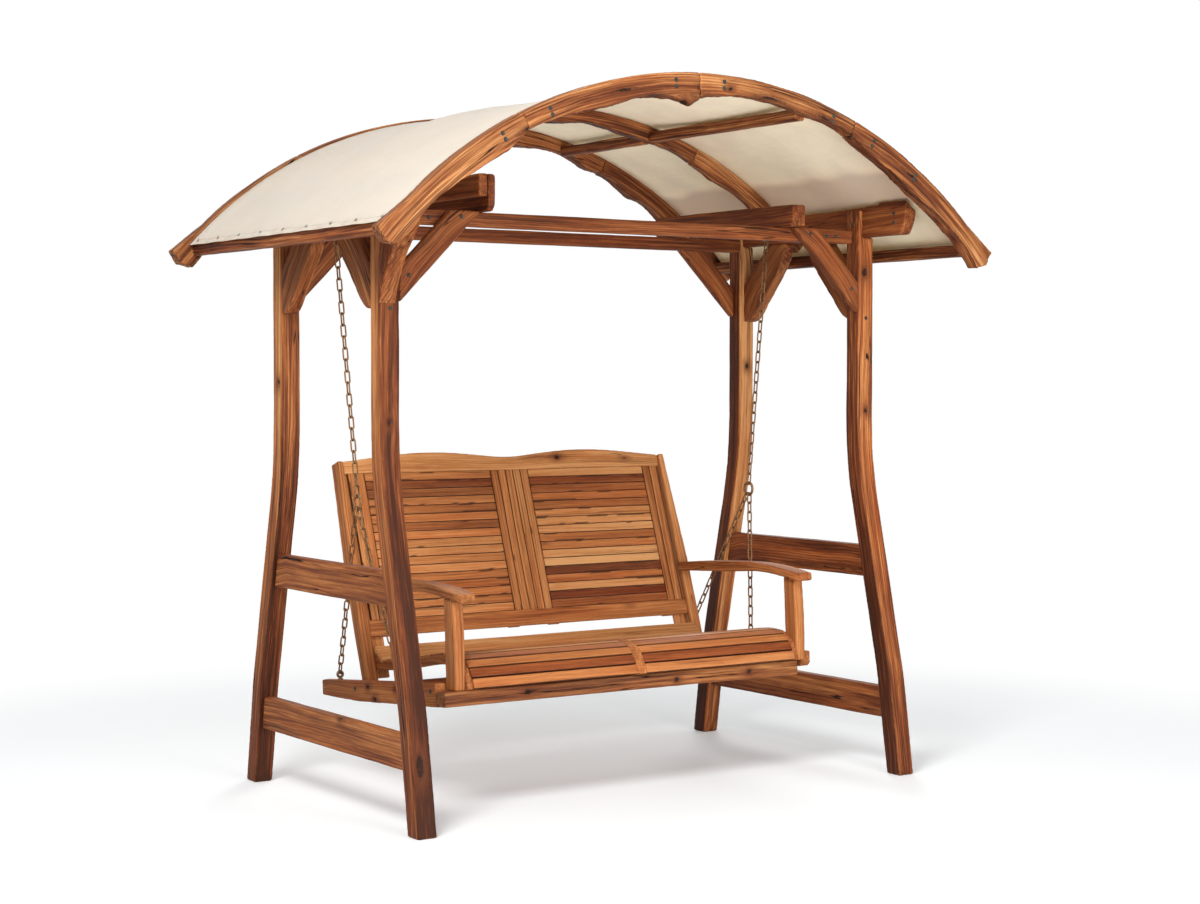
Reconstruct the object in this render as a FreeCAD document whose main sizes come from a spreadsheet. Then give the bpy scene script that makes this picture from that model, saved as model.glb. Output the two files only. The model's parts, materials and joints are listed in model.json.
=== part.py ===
import FreeCAD, Part
import os
import re
from math import asin, atan2, cos, degrees, radians, sin, tan

import Sketcher

# Garden swing bench (jhoola) under an arched cloth canopy, in millimetres.
# X runs along the bench, -Y is the side that a sitter faces, +Z is up, the feet stand on Z = 0.

# Driving sizes, one spreadsheet cell each

SIZES = {
    # Clearances and small allowances
    "cloth_gap": 0.3,
    "joint_gap": 0.4,
    "housing_gap": 1.5,
    "cut_overrun_length": 20,
    "timber_ease_radius": 4,
    "board_ease_radius": 2.5,
    # Legs: a plumb top, a bend at the shoulder, a splayed lower part and a gentle bend near the foot
    "leg_spacing_width": 1806,
    "leg_width": 64,
    "leg_depth": 64,
    "foot_reach": 538,
    "shin_reach": 487,
    "shin_height": 330,
    "shin_bend_radius": 900,
    "shoulder_reach": 325,
    "shoulder_height": 1031,
    "shoulder_bend_radius": 1200,
    "beam_underside_height": 1777,
    "tongue_height": 90,
    "tongue_thickness": 18,
    # Rails between the front and the rear leg of each side
    "rail_thickness": 36,
    "lower_rail_height": 180,
    "lower_rail_depth": 102,
    "upper_rail_height": 643,
    "upper_rail_depth": 105,
    # Side beams on the leg tops
    "beam_thickness": 45,
    "beam_depth": 111,
    "beam_reach": 571,
    "beam_nose_height": 77,
    "beam_nose_length": 33,
    "beam_seat_reach": 436,
    "beam_seat_drop": 8,
    "beam_hollow_depth": 9,
    "beam_bevel_depth": 34,
    # Long beams from side to side and the cross beams on top of them
    "long_beam_thickness": 42,
    "long_beam_depth": 44,
    "long_beam_top_height": 1800,
    "cross_offset": 564,
    "cross_thickness": 25,
    "left_cross_depth": 110,
    "right_cross_depth": 72,
    "cross_reach": 388,
    "cross_chamfer_length": 16,
    "ledger_thickness": 31,
    "ledger_depth": 68,
    # Knee braces under the long beams
    "knee_thickness": 30,
    "knee_foot_height": 1523,
    "knee_cut_height": 103,
    # Rough braces under the side beams and the corbel of the front left leg
    "side_brace_thickness": 45,
    "side_brace_foot_height": 1508,
    "side_brace_foot_depth": 130,
    "side_brace_head_reach": 56,
    "side_brace_head_depth": 104,
    "corbel_thickness": 56,
    "corbel_foot_height": 1520,
    "corbel_reach": 145,
    "corbel_nose_height": 38,
    # Canopy ribs
    "arch_rise": 11.6,
    "rib_radius": 1486,
    "rib_thickness": 50,
    "rib_depth": 64,
    "rib_reach": 692,
    "rib_break_reach": 1022,
    "rib_tip_reach": 1134,
    "rib_tip_drop": 89,
    "rib_toe_reach": 1108,
    "rib_toe_drop": 130,
    "rib_heel_reach": 1072,
    "rib_heel_drop": 137,
    "middle_rib_offset": 140,
    "middle_rib_thickness": 44,
    "middle_rib_depth": 50,
    "lap_depth": 42,
    # Canopy rails and cloth
    "purlin_offset": 365,
    "purlin_width": 36,
    "purlin_depth": 36,
    "eave_offset": 1050,
    "eave_width": 40,
    "eave_depth": 40,
    "cloth_thickness": 4,
    "cloth_drop": 6,
    "cloth_reach": 1082,
    "cloth_sag_depth": 14,
    "tack_radius": 5,
    "tack_thickness": 2,
    "tack_offset": 45,
    "tack_count": 9,
    # Bolts
    "bolt_head_radius": 7,
    "bolt_head_height": 3,
    "bolt_offset": 30,
    "beam_bolt_offset": 75,
    "bolt_spacing": 39,
    # Hanger eyes, chains and rings
    "hook_reach": 845,
    "hook_offset": 106,
    "hook_height": 1784,
    "eye_radius": 14,
    "eye_wire_radius": 4.5,
    "shank_radius": 5,
    "shank_gap": 0.2,
    "nut_radius": 10,
    "nut_thickness": 8,
    "link_radius": 7.5,
    "link_wire_radius": 2.5,
    "link_gap": 0.3,
    "upper_link_count": 24,
    "front_link_count": 16,
    "rear_link_count": 18,
    "ring_reach": 768,
    "ring_height": 920,
    "ring_radius": 22,
    "ring_wire_radius": 4.4,
    "seat_eye_radius": 9,
    "seat_eye_wire_radius": 4.5,
    "seat_eye_collar_radius": 9,
    "seat_eye_stem_height": 4,
    "front_eye_offset": -12,
    "rear_eye_offset": 380,
    # Seat frame, laid out along a line that falls towards the back
    "seat_line_height": 368,
    "seat_tilt": 5.7,
    "sled_offset": 690,
    "sled_thickness": 40,
    "sled_depth": 50,
    "sled_belly_depth": 66,
    "sled_belly_reach": 224,
    "sled_rear_depth": 50,
    "sled_front_reach": 305,
    "sled_rear_reach": 474,
    "sled_chamfer_length": 12,
    "bearer_drop": 27,
    "bearer_depth": 46,
    "bearer_width": 56,
    "front_bearer_offset": 302,
    "rear_bearer_offset": 233,
    "rear_bearer_width": 24,
    "rear_bearer_depth": 50,
    "rear_bearer_drop": 40,
    "contour_band_width": 20,
    "contour_ledge_width": 30,
    "contour_depth": 34,
    "contour_reveal_depth": 4,
    "contour_foot_length": 62,
    "contour_tail_reach": 250,
    "divider_thickness": 34,
    "divider_support_width": 72,
    # Seat slats
    "seat_front_reach": 344,
    "seat_front_drop": 22,
    "seat_slat_width": 30,
    "seat_slat_thickness": 12,
    "seat_slat_gap": 4.5,
    "rear_board_width": 64,
    "rear_board_thickness": 16,
    "rear_board_tilt": 41,
    "rear_board_gap": 6,
    # Back, leaning on its own line
    "back_foot_offset": 265,
    "back_foot_height": 400,
    "back_lean": 19.3,
    "post_thickness": 36,
    "post_depth": 50,
    "post_foot_length": 106,
    "post_top_height": 665,
    "post_taper_width": 16,
    "post_taper_height": 280,
    "crest_thickness": 26,
    "lower_back_rail_thickness": 14,
    "lower_back_rail_height": 76,
    "panel_foot_height": 130,
    "panel_top_height": 624,
    "crest_end_height": 42,
    "crest_hump_height": 68,
    "crest_valley_height": 47,
    "back_slat_height": 26.2,
    "back_slat_thickness": 12,
    "back_slat_count": 17,
    "strip_width": 28,
    "strip_gap": 2,
    "centre_strip_count": 5,
    "side_strip_count": 2,
    "panel_gap": 3,
    "stile_width": 48,
    "stile_thickness": 12,
    "stile_drop": 58,
    "stile_gap": 6,
    "batten_width": 44,
    "batten_overlap": 24,
    "back_slat_length": 480,
    # Arms
    "arm_offset": 646,
    "arm_width": 66,
    "arm_waist_width": 50,
    "arm_height": 654,
    "arm_thickness": 30,
    "arm_front_reach": 363,
    "arm_post_thickness": 36,
    "arm_post_depth": 56,
    "arm_post_front_reach": 326,
    "arm_post_lean_depth": 16,
    "arm_post_bulge_depth": 5,
    "arm_post_top_height": 647,
}

# Radial depth of each rib along its underside, from the left foot to the right foot
FRONT_RIB_DEPTH_SHARES = (
    0.90, 0.96, 1.10, 1.14, 0.80, 0.84, 1.02, 1.12, 1.00, 1.08, 1.10,
    0.92, 0.84, 0.78, 0.84, 0.72, 0.90, 1.02, 1.08, 1.16, 1.04, 0.86,
)
REAR_RIB_DEPTH_SHARES = (
    0.92, 1.02, 1.12, 1.00, 1.08, 0.94, 0.86, 1.00, 1.10, 0.98, 0.90,
    1.04, 1.12, 0.96, 0.84, 1.00, 0.90, 1.08, 1.00, 1.12, 0.94, 0.90,
)
MIDDLE_RIB_DEPTH_SHARES = (
    0.90, 1.04, 1.10, 1.12, 0.96, 1.06, 1.14, 0.96, 0.88, 1.04, 1.10,
    0.98, 0.90, 1.10, 1.02, 0.92, 1.12, 1.18, 1.04, 1.08, 0.96, 0.90,
)
# Places of the butt joints in a rib, as shares of the rib's half span
RIB_JOINT_SHARES = (-0.62, -0.05, 0.5)
# Places of the paired bolts beside those joints
RIB_BOLT_SHARES = (-0.70, -0.54, -0.13, 0.03, 0.42, 0.58, 0.76)

# Tilt in degrees of each seat slat against the seat line, from the rolled front edge to the rear
SEAT_SLAT_TILT_SHARES = (
    74, 62, 44, 25, 8, 0.4, -1.4, -2.8, -3.9,
    -4.7, -5.2, -5.2, -4.7, -3.9, -2.8, -1.4, 0.1,
)

# Cloth stations from front to rear: share of the way between ribs, share of the full sag
FRONT_BAY_SAG_SHARES = ((0.0, 0.0), (0.25, 0.72), (0.5, 1.0), (0.75, 0.68))
REAR_BAY_SAG_SHARES = ((0.3, 0.5), (0.65, 0.5), (1.0, 0.0))

# Wavy lower edge of a side brace: share of its run, share of its rise
SIDE_BRACE_EDGE_SHARES = ((0.0, 0.0), (0.12, 0.01), (0.38, 0.22), (0.66, 0.50), (0.88, 0.74), (1.0, 1.0))
CORBEL_EDGE_SHARES = ((0.0, 0.0), (0.18, 0.30), (0.42, 0.58), (0.74, 0.82), (1.0, 1.0))

# Bow of a side beam's nose: share of the way from toe to nose, outwards and upwards
BEAM_BOW_SHARES = (0.62, 0.42)
# Margin round a butt joint in a rib, as a share of the step between the depths along it
JOINT_MARGIN_SHARE = 0.4
# Width of an arm's tip as a share of its waist
ARM_TIP_SHARE = 0.6
# Crown of a bolt head as a share of its foot, and the number of sides round it
BOLT_CROWN_SHARE = 0.7
BOLT_SIDE_COUNT = 12
# Inset of a knee brace's head bolt as a share of its foot bolt's
HEAD_BOLT_SHARE = 0.6

# Crest rail: share of the half length, share of the way from the valley to the hump
CREST_HUMP_SHARES = ((0.16, 0.36), (0.32, 0.82), (0.48, 1.0), (0.64, 0.84), (0.82, 0.34))

# Arm: share of the length from the front tip, height above or below as a share of the thickness
ARM_TOP_SHARES = (
    (0.03, 0.36), (0.10, 0.60), (0.22, 0.88), (0.36, 0.98), (0.54, 0.84), (0.72, 0.60), (0.88, 0.28),
)
ARM_UNDERSIDE_SHARES = (
    (0.03, -0.50), (0.08, -0.36), (0.16, -0.14), (0.34, 0.02), (0.5, -0.28), (0.66, -0.54), (0.84, -0.76),
)
# Arm in plan: share of the length from the front tip, share of the way from waist to full width
ARM_PLAN_SHARES = ((0.06, 0.86), (0.16, 1.0), (0.32, 0.62), (0.5, 0.1), (0.7, 0.0), (0.9, 0.3))

LEFT_RIGHT = (("left", -1), ("right", 1))
FRONT_REAR = (("front", -1), ("rear", 1))

doc = FreeCAD.newDocument("garden_swing")
sheet = doc.addObject("Spreadsheet::Sheet", "Sizes")
for row, (alias, size) in enumerate(SIZES.items(), start=1):
    sheet.set(f"A{row}", alias)
    sheet.set(f"B{row}", str(size))
    sheet.setAlias(f"B{row}", alias)
doc.recompute()

Vector = FreeCAD.Vector
ALONG_X = Vector(1, 0, 0)
ALONG_Y = Vector(0, 1, 0)
ALONG_Z = Vector(0, 0, 1)
pieces = []


def cells(text):
    """The expression with every size name turned into a reference to its spreadsheet cell."""
    return re.sub(r"[a-z]+(?:_[a-z]+)+", lambda name: "Sizes." + name.group(), text)


def value(text):
    """The number that an expression of size names comes to."""
    return float(sheet.evalExpression(cells(text)))


# Expressions shared by several pieces

LEG_X = "(leg_spacing_width / 2)"
LEG_INNER_X = "(leg_spacing_width / 2 - leg_width / 2)"
LEG_INNER_Y = "(shoulder_reach - leg_depth / 2)"
LEG_FRONT_Y = "(shoulder_reach + leg_depth / 2)"
BEAM_INNER_X = f"({LEG_INNER_X} + tongue_thickness)"
BEAM_X = f"({BEAM_INNER_X} + beam_thickness / 2)"
BEAM_TOP = "(beam_underside_height + beam_depth)"
LONG_BEAM_Y = f"({LEG_FRONT_Y} - knee_thickness - long_beam_thickness / 2)"
KNEE_Y = f"({LEG_FRONT_Y} - knee_thickness / 2)"
ARCH_CENTRE_Z = f"({BEAM_TOP} + arch_rise - sqrt(rib_radius^2 - {BEAM_X}^2))"
APEX_Z = f"({ARCH_CENTRE_Z} + rib_radius)"
LAP_Z = f"({BEAM_TOP} - lap_depth)"
RIB_INNER_Y = "(rib_reach - rib_thickness / 2)"
CLOTH_UNDERSIDE_RADIUS = "(rib_radius - cloth_drop - cloth_thickness)"
EAVE_INNER_X = "(eave_offset - eave_width / 2)"
EAVE_OUTER_X = "(eave_offset + eave_width / 2)"
EYE_CENTRE_Z = "(hook_height + eye_radius)"
PANEL_INNER_X = "((centre_strip_count * (strip_width + strip_gap) - strip_gap) / 2 + panel_gap)"
SLED_INNER_X = "(sled_offset - sled_thickness / 2)"
POST_X = f"({SLED_INNER_X} - post_thickness / 2)"
POST_INNER_X = f"({SLED_INNER_X} - post_thickness)"
SLAT_END_X = f"({POST_INNER_X} - contour_band_width)"
ARM_POST_X = f"({SLED_INNER_X} - arm_post_thickness / 2)"


def arch_height(reach, radius):
    """Height above the floor of an arch of the given radius, at a distance from the middle."""
    return f"({ARCH_CENTRE_Z} + sqrt(({radius})^2 - ({reach})^2))"


# Helpers for bodies, sketches and features

def new_body(label):
    body = doc.addObject("PartDesign::Body", label)
    body.Label = label
    pieces.append(body)
    return body


def origin_item(body, role):
    return next(item for item in body.Origin.OriginFeatures if item.Role == role)


def new_sketch(body, plane, offset=None):
    """An empty sketch on one of the body's own origin planes, moved off it by an expression."""
    sketch = body.newObject("Sketcher::SketchObject", f"{body.Label}_outline")
    sketch.AttachmentSupport = [(origin_item(body, plane), "")]
    sketch.MapMode = "FlatFace"
    if offset is not None:
        sketch.setExpression("AttachmentOffset.Base.z", cells(offset))
    return sketch


def add_polygon(sketch, corners):
    """A closed outline of straight lines whose corners are bound to expressions."""
    points = [Vector(value(across), value(up), 0) for across, up in corners]
    first = sketch.GeometryCount
    count = len(points)
    for index, point in enumerate(points):
        sketch.addGeometry(Part.LineSegment(point, points[(index + 1) % count]), False)
    for index, ((across, up), point) in enumerate(zip(corners, points)):
        line = first + index
        following = first + (index + 1) % count
        sketch.addConstraint(Sketcher.Constraint("Coincident", line, 2, following, 1))
        for kind, place, text in (("DistanceX", point.x, across), ("DistanceY", point.y, up)):
            number = sketch.addConstraint(Sketcher.Constraint(kind, -1, 1, line, 1, place))
            sketch.setExpression(f"Constraints[{number}]", cells(text))


def rectangle(left, right, low, high):
    return [(left, low), (right, low), (right, high), (left, high)]


def polygon_sketch(body, plane, corners, offset=None):
    sketch = new_sketch(body, plane, offset)
    add_polygon(sketch, corners)
    return sketch


def curved_sketch(body, plane, curves, offset=None):
    """A closed outline of lines, arcs and splines that meet end to end."""
    sketch = new_sketch(body, plane, offset)
    sketch.addGeometry(curves, False)
    return sketch


def pad(body, sketch, length):
    """Material on both sides of the sketch, to a total thickness."""
    feature = body.newObject("PartDesign::Pad", f"{body.Label}_pad")
    feature.Profile = sketch
    feature.Midplane = True
    feature.setExpression("Length", cells(length))
    doc.recompute()
    return feature


def pocket(body, sketch):
    """A cut through everything, on both sides of the sketch."""
    before = body.Shape.Volume
    feature = body.newObject("PartDesign::Pocket", f"{body.Label}_cut")
    feature.Profile = sketch
    feature.Midplane = True
    feature.Type = "ThroughAll"
    doc.recompute()
    if not body.Shape.Volume < before:
        raise ValueError(f"a cut in {body.Label} removes nothing")
    return feature


def ease_edges(body, feature, radius):
    """Round every edge of the feature lightly."""
    fillet = body.newObject("PartDesign::Fillet", f"{body.Label}_eased")
    fillet.Base = (feature, [f"Edge{number + 1}" for number in range(len(feature.Shape.Edges))])
    fillet.setExpression("Radius", cells(radius))
    doc.recompute()
    return fillet


def repeat(body, axis, pitch, count):
    """Copies of the whole body in a row."""
    pattern = body.newObject("PartDesign::LinearPattern", f"{body.Label}_row")
    pattern.TransformMode = "Whole shape"
    pattern.Direction = (origin_item(body, axis), [""])
    pattern.setExpression("Length", cells(f"({pitch}) * ({count} - 1)"))
    pattern.setExpression("Occurrences", cells(count))
    body.Tip = pattern
    doc.recompute()
    return pattern


def place(body, x=None, y=None, z=None):
    for name, text in (("x", x), ("y", y), ("z", z)):
        if text is not None:
            body.setExpression(f"Placement.Base.{name}", cells(text))


def lean(body, angle, x=None, y=None, z=None):
    """Turn the body about X so that its own +Z leans towards +Y, and place it."""
    body.Placement = FreeCAD.Placement(Vector(), FreeCAD.Rotation(-ALONG_X, value(angle)))
    body.setExpression("Placement.Rotation.Angle", cells(angle))
    place(body, x, y, z)


def shape_piece(label, solids):
    """A piece whose solids no sketch describes well, such as a bent wire."""
    feature = doc.addObject("Part::Feature", label)
    feature.Label = label
    feature.Shape = Part.makeCompound(solids)
    pieces.append(feature)
    return feature


def line(start, end):
    return Part.LineSegment(Vector(*start, 0), Vector(*end, 0))


def arc(start, middle, end):
    return Part.Arc(Vector(*start, 0), Vector(*middle, 0), Vector(*end, 0))


def spline(points):
    curve = Part.BSplineCurve()
    curve.interpolate([Vector(*point, 0) for point in points])
    return curve


def rounded_path(points, radii):
    """Lines through the points, with a tangent arc in place of each inner corner."""
    curves = []
    start = Vector(*points[0], 0)
    for corner, following, radius in zip(points[1:-1], points[2:], radii):
        corner = Vector(*corner, 0)
        inward = (corner - start).normalize()
        outward = (Vector(*following, 0) - corner).normalize()
        half_turn = inward.getAngle(outward) / 2
        run = radius * tan(half_turn)
        arc_start = corner - inward * run
        arc_end = corner + outward * run
        to_centre = (outward - inward).normalize()
        arc_middle = corner + to_centre * (radius / cos(half_turn) - radius)
        curves.append(Part.LineSegment(start, arc_start))
        curves.append(Part.Arc(arc_start, arc_middle, arc_end))
        start = arc_end
    curves.append(Part.LineSegment(start, Vector(*points[-1], 0)))
    return curves


def bolt_head(centre, direction):
    """A low many-sided head, flat on the timber and narrower at its crown."""
    base = value("bolt_head_radius")
    across = direction.cross(ALONG_Z)
    outlines = []
    for radius, height in ((base, 0), (base * BOLT_CROWN_SHARE, value("bolt_head_height"))):
        corners = []
        for number in range(BOLT_SIDE_COUNT):
            turn = FreeCAD.Rotation(direction, 360 * number / BOLT_SIDE_COUNT)
            corners.append(centre + direction * height + turn.multVec(across) * radius)
        outlines.append(Part.makePolygon(corners + corners[:1]))
    return Part.makeLoft(outlines, True, True).Solids[0]


# Legs

def leg_edge(sign, shift):
    """One side of a leg from floor to beam, as a bent line in the Y-Z plane."""
    heights = ("0", "shin_height", "shoulder_height", "beam_underside_height")
    reaches = ("foot_reach", "shin_reach", "shoulder_reach", "shoulder_reach")
    return [(sign * (value(reach) + shift), value(height)) for reach, height in zip(reaches, heights)]


def make_leg(side_name, side, end_name, end):
    body = new_body(f"leg_{end_name}_{side_name}")
    half = value("leg_depth") / 2
    bends = [value("shin_bend_radius"), value("shoulder_bend_radius")]
    outer = leg_edge(end, half)
    inner = leg_edge(end, -half)
    curves = rounded_path(outer, bends)
    curves.append(line(outer[-1], inner[-1]))
    curves.extend(rounded_path(inner[::-1], bends[::-1]))
    curves.append(line(inner[0], outer[0]))
    stem = pad(body, curved_sketch(body, "YZ_Plane", curves), "leg_width")
    ease_edges(body, stem, "timber_ease_radius")
    tongue_outline = rectangle(
        f"{end} * shoulder_reach - leg_depth / 2",
        f"{end} * shoulder_reach + leg_depth / 2",
        "beam_underside_height - timber_ease_radius * 2",
        "beam_underside_height + tongue_height",
    )
    inset = f"{-side} * (leg_width - tongue_thickness) / 2"
    pad(body, polygon_sketch(body, "YZ_Plane", tongue_outline, inset), "tongue_thickness")
    place(body, x=f"{side} * {LEG_X}")


# Rails between the legs of one side

def shin_inner(height):
    """Reach of a leg's inner edge below the shin bend."""
    return f"(foot_reach - (foot_reach - shin_reach) / shin_height * ({height}) - leg_depth / 2)"


def thigh_inner(height):
    """Reach of a leg's inner edge between the shin bend and the shoulder."""
    slope = "(shin_reach - shoulder_reach) / (shoulder_height - shin_height)"
    return f"(shin_reach - {slope} * ({height} - shin_height) - leg_depth / 2)"


def make_side_rail(label, side, low, depth, inner_edge):
    body = new_body(label)
    high = f"({low} + {depth})"
    corners = [
        (f"-{inner_edge(low)}", low),
        (inner_edge(low), low),
        (inner_edge(high), high),
        (f"-{inner_edge(high)}", high),
    ]
    board = pad(body, polygon_sketch(body, "YZ_Plane", corners), "rail_thickness")
    ease_edges(body, board, "board_ease_radius")
    place(body, x=f"{side} * {LEG_X}")


# Side beams on the leg tops, bevelled to the canopy's slope and notched for the middle rib

def make_side_beam(side_name, side):
    body = new_body(f"side_beam_{side_name}")
    low = value("beam_underside_height")
    top = value(BEAM_TOP)
    reach = value("beam_reach")
    nose = low + value("beam_nose_height")
    toe = reach - value("beam_nose_length")
    seat_reach = value("beam_seat_reach")
    seat = top - value("beam_seat_drop")
    hollow = seat - value("beam_hollow_depth")
    outwards, upwards = BEAM_BOW_SHARES
    bow_y = toe + outwards * (reach - toe)
    bow_z = low + upwards * (nose - low)
    curves = [
        line((-toe, low), (toe, low)),
        arc((toe, low), (bow_y, bow_z), (reach, nose)),
        line((reach, nose), (reach, top)),
        line((reach, top), (seat_reach, top)),
        line((seat_reach, top), (seat_reach, seat)),
        arc((seat_reach, seat), (0, hollow), (-seat_reach, seat)),
        line((-seat_reach, seat), (-seat_reach, top)),
        line((-seat_reach, top), (-reach, top)),
        line((-reach, top), (-reach, nose)),
        arc((-reach, nose), (-bow_y, bow_z), (-toe, low)),
    ]
    pad(body, curved_sketch(body, "YZ_Plane", curves), "beam_thickness")
    inner = f"{-side} * beam_thickness / 2"
    beyond = f"{side} * (beam_thickness / 2 + cut_overrun_length)"
    bevel = [
        (inner, BEAM_TOP),
        (beyond, f"{BEAM_TOP} - beam_bevel_depth * (1 + cut_overrun_length / beam_thickness)"),
        (beyond, f"{BEAM_TOP} + cut_overrun_length"),
        (inner, f"{BEAM_TOP} + cut_overrun_length"),
    ]
    pocket(body, polygon_sketch(body, "XZ_Plane", bevel))
    notch = rectangle(
        "middle_rib_offset - middle_rib_thickness / 2",
        "middle_rib_offset + middle_rib_thickness / 2",
        LAP_Z,
        f"{BEAM_TOP} + cut_overrun_length",
    )
    pocket(body, polygon_sketch(body, "YZ_Plane", notch))
    hole = new_sketch(body, "YZ_Plane")
    centre = Vector(value("hook_offset"), value(EYE_CENTRE_Z), 0)
    hole.addGeometry(Part.Circle(centre, ALONG_Z, value("shank_radius + shank_gap")), False)
    pocket(body, hole)
    place(body, x=f"{side} * {BEAM_X}")


# Long beams and the cross beams that lie on them

def make_long_beam(end_name, end):
    body = new_body(f"long_beam_{end_name}")
    corners = rectangle(
        f"-{LEG_INNER_X}", LEG_INNER_X, "long_beam_top_height - long_beam_depth", "long_beam_top_height"
    )
    board = pad(body, polygon_sketch(body, "XZ_Plane", corners), "long_beam_thickness")
    ease_edges(body, board, "board_ease_radius")
    place(body, y=f"{end} * {LONG_BEAM_Y}")


def make_cross_beam(side_name, side):
    body = new_body(f"cross_beam_{side_name}")
    top = f"(long_beam_top_height + {side_name}_cross_depth)"
    corners = [
        ("-cross_reach + cross_chamfer_length", "long_beam_top_height"),
        ("cross_reach - cross_chamfer_length", "long_beam_top_height"),
        ("cross_reach", "long_beam_top_height + cross_chamfer_length"),
        ("cross_reach", f"{top} - cross_chamfer_length / 2"),
        ("cross_reach - cross_chamfer_length / 2", top),
        ("-cross_reach + cross_chamfer_length / 2", top),
        ("-cross_reach", f"{top} - cross_chamfer_length / 2"),
        ("-cross_reach", "long_beam_top_height + cross_chamfer_length"),
    ]
    board = pad(body, polygon_sketch(body, "YZ_Plane", corners), "cross_thickness")
    ease_edges(body, board, "board_ease_radius")
    place(body, x=f"{side} * (cross_offset + cross_thickness / 2)")


def make_cross_ledgers():
    """The upper planks fastened along the outer face of each cross beam."""
    body = new_body("cross_ledgers")
    sketch = new_sketch(body, "XZ_Plane")
    for side_name, side in LEFT_RIGHT:
        top = f"(long_beam_top_height + {side_name}_cross_depth)"
        near = f"{side} * (cross_offset + cross_thickness)"
        far = f"{side} * (cross_offset + cross_thickness + ledger_thickness)"
        add_polygon(sketch, rectangle(near, far, f"{top} - ledger_depth", top))
    boards = pad(body, sketch, "2 * (cross_reach - cross_chamfer_length / 4)")
    ease_edges(body, boards, "board_ease_radius")


# Braces

def make_knee_brace(side_name, side, end_name, end):
    """A straight plank at 45 degrees from a leg's inner face to the face of a long beam."""
    body = new_body(f"knee_brace_{end_name}_{side_name}")
    rise = "(long_beam_top_height - knee_foot_height)"
    corners = [
        (f"{side} * {LEG_INNER_X}", "knee_foot_height"),
        (f"{side} * {LEG_INNER_X}", "knee_foot_height + knee_cut_height"),
        (f"{side} * ({LEG_INNER_X} - {rise} + knee_cut_height)", "long_beam_top_height"),
        (f"{side} * ({LEG_INNER_X} - {rise})", "long_beam_top_height"),
    ]
    plank = pad(body, polygon_sketch(body, "XZ_Plane", corners), "knee_thickness")
    ease_edges(body, plank, "board_ease_radius")
    place(body, y=f"{end} * {KNEE_Y}")


def make_side_brace(side_name, side, end_name, end):
    """A rough brace from a leg's inner edge up to the underside of the side beam."""
    body = new_body(f"side_brace_{end_name}_{side_name}")
    foot_y = value(LEG_INNER_Y)
    foot_low = value("side_brace_foot_height")
    foot_high = foot_low + value("side_brace_foot_depth")
    head_z = value("beam_underside_height")
    head_near = value("side_brace_head_reach")
    head_far = head_near + value("side_brace_head_depth")
    edge = [
        (end * (foot_y + run * (head_near - foot_y)), foot_low + rise * (head_z - foot_low))
        for run, rise in SIDE_BRACE_EDGE_SHARES
    ]
    curves = [
        spline(edge),
        line(edge[-1], (end * head_far, head_z)),
        line((end * head_far, head_z), (end * foot_y, foot_high)),
        line((end * foot_y, foot_high), edge[0]),
    ]
    pad(body, curved_sketch(body, "YZ_Plane", curves), "side_brace_thickness")
    place(body, x=f"{side} * {BEAM_X}")


def make_corbel():
    """The bracket on the front of the front left leg, under the beam's overhang."""
    body = new_body("corbel_front_left")
    leg_y = -value(LEG_FRONT_Y)
    low = value("corbel_foot_height")
    high = value("beam_underside_height")
    reach = value("corbel_reach")
    nose_z = high - value("corbel_nose_height")
    edge = [(leg_y - run * reach, low + rise * (nose_z - low)) for run, rise in CORBEL_EDGE_SHARES]
    curves = [
        spline(edge),
        line(edge[-1], (leg_y - reach, high)),
        line((leg_y - reach, high), (leg_y, high)),
        line((leg_y, high), edge[0]),
    ]
    pad(body, curved_sketch(body, "YZ_Plane", curves), "corbel_thickness")
    place(body, x=f"-{BEAM_X}")


# Canopy ribs

def on_arch(angle, radius):
    """Point of the X-Z plane on a circle about the arch's centre, the angle measured from the apex."""
    centre_z = value(ARCH_CENTRE_Z)
    return (radius * sin(angle), centre_z + radius * cos(angle))


def depth_at(shares, position):
    """Depth share at a position from 0 at the left foot to 1 at the right foot."""
    place_in_list = position * (len(shares) - 1)
    index = min(int(place_in_list), len(shares) - 2)
    step = place_in_list - index
    return shares[index] * (1 - step) + shares[index + 1] * step


def board_underside(shares, depth, radius, half_angle, left, right):
    """Wavy line under one board of a rib, from its right end to its left end."""
    count = len(shares) - 1
    inner = [2 * index / count - 1 for index in range(count + 1)]
    margin = JOINT_MARGIN_SHARE / count
    turns = [left] + [share for share in inner if left + margin < share < right - margin] + [right]
    return [
        on_arch(turn * half_angle, radius - depth * depth_at(shares, (turn + 1) / 2))
        for turn in reversed(turns)
    ]


def rib_boards(shares, depth, radius, half_angle):
    """Arc, underside and ends of each board, with a hairline gap at each butt joint."""
    slit = value("joint_gap") / 2 / radius / half_angle
    starts = [-1] + [share + slit for share in RIB_JOINT_SHARES]
    ends = [share - slit for share in RIB_JOINT_SHARES] + [1]
    boards = []
    for left, right in zip(starts, ends):
        top = [on_arch(turn * half_angle, radius) for turn in (left, (left + right) / 2, right)]
        boards.append((top, board_underside(shares, depth, radius, half_angle, left, right)))
    return boards


def foot_corners(side):
    """The three outer corners of a rib's faceted foot, from the top down."""
    break_height = value(arch_height("rib_break_reach", "rib_radius"))
    return [
        (side * value(f"rib_{name}_reach"), break_height - value(f"rib_{name}_drop"))
        for name in ("tip", "toe", "heel")
    ]


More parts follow.
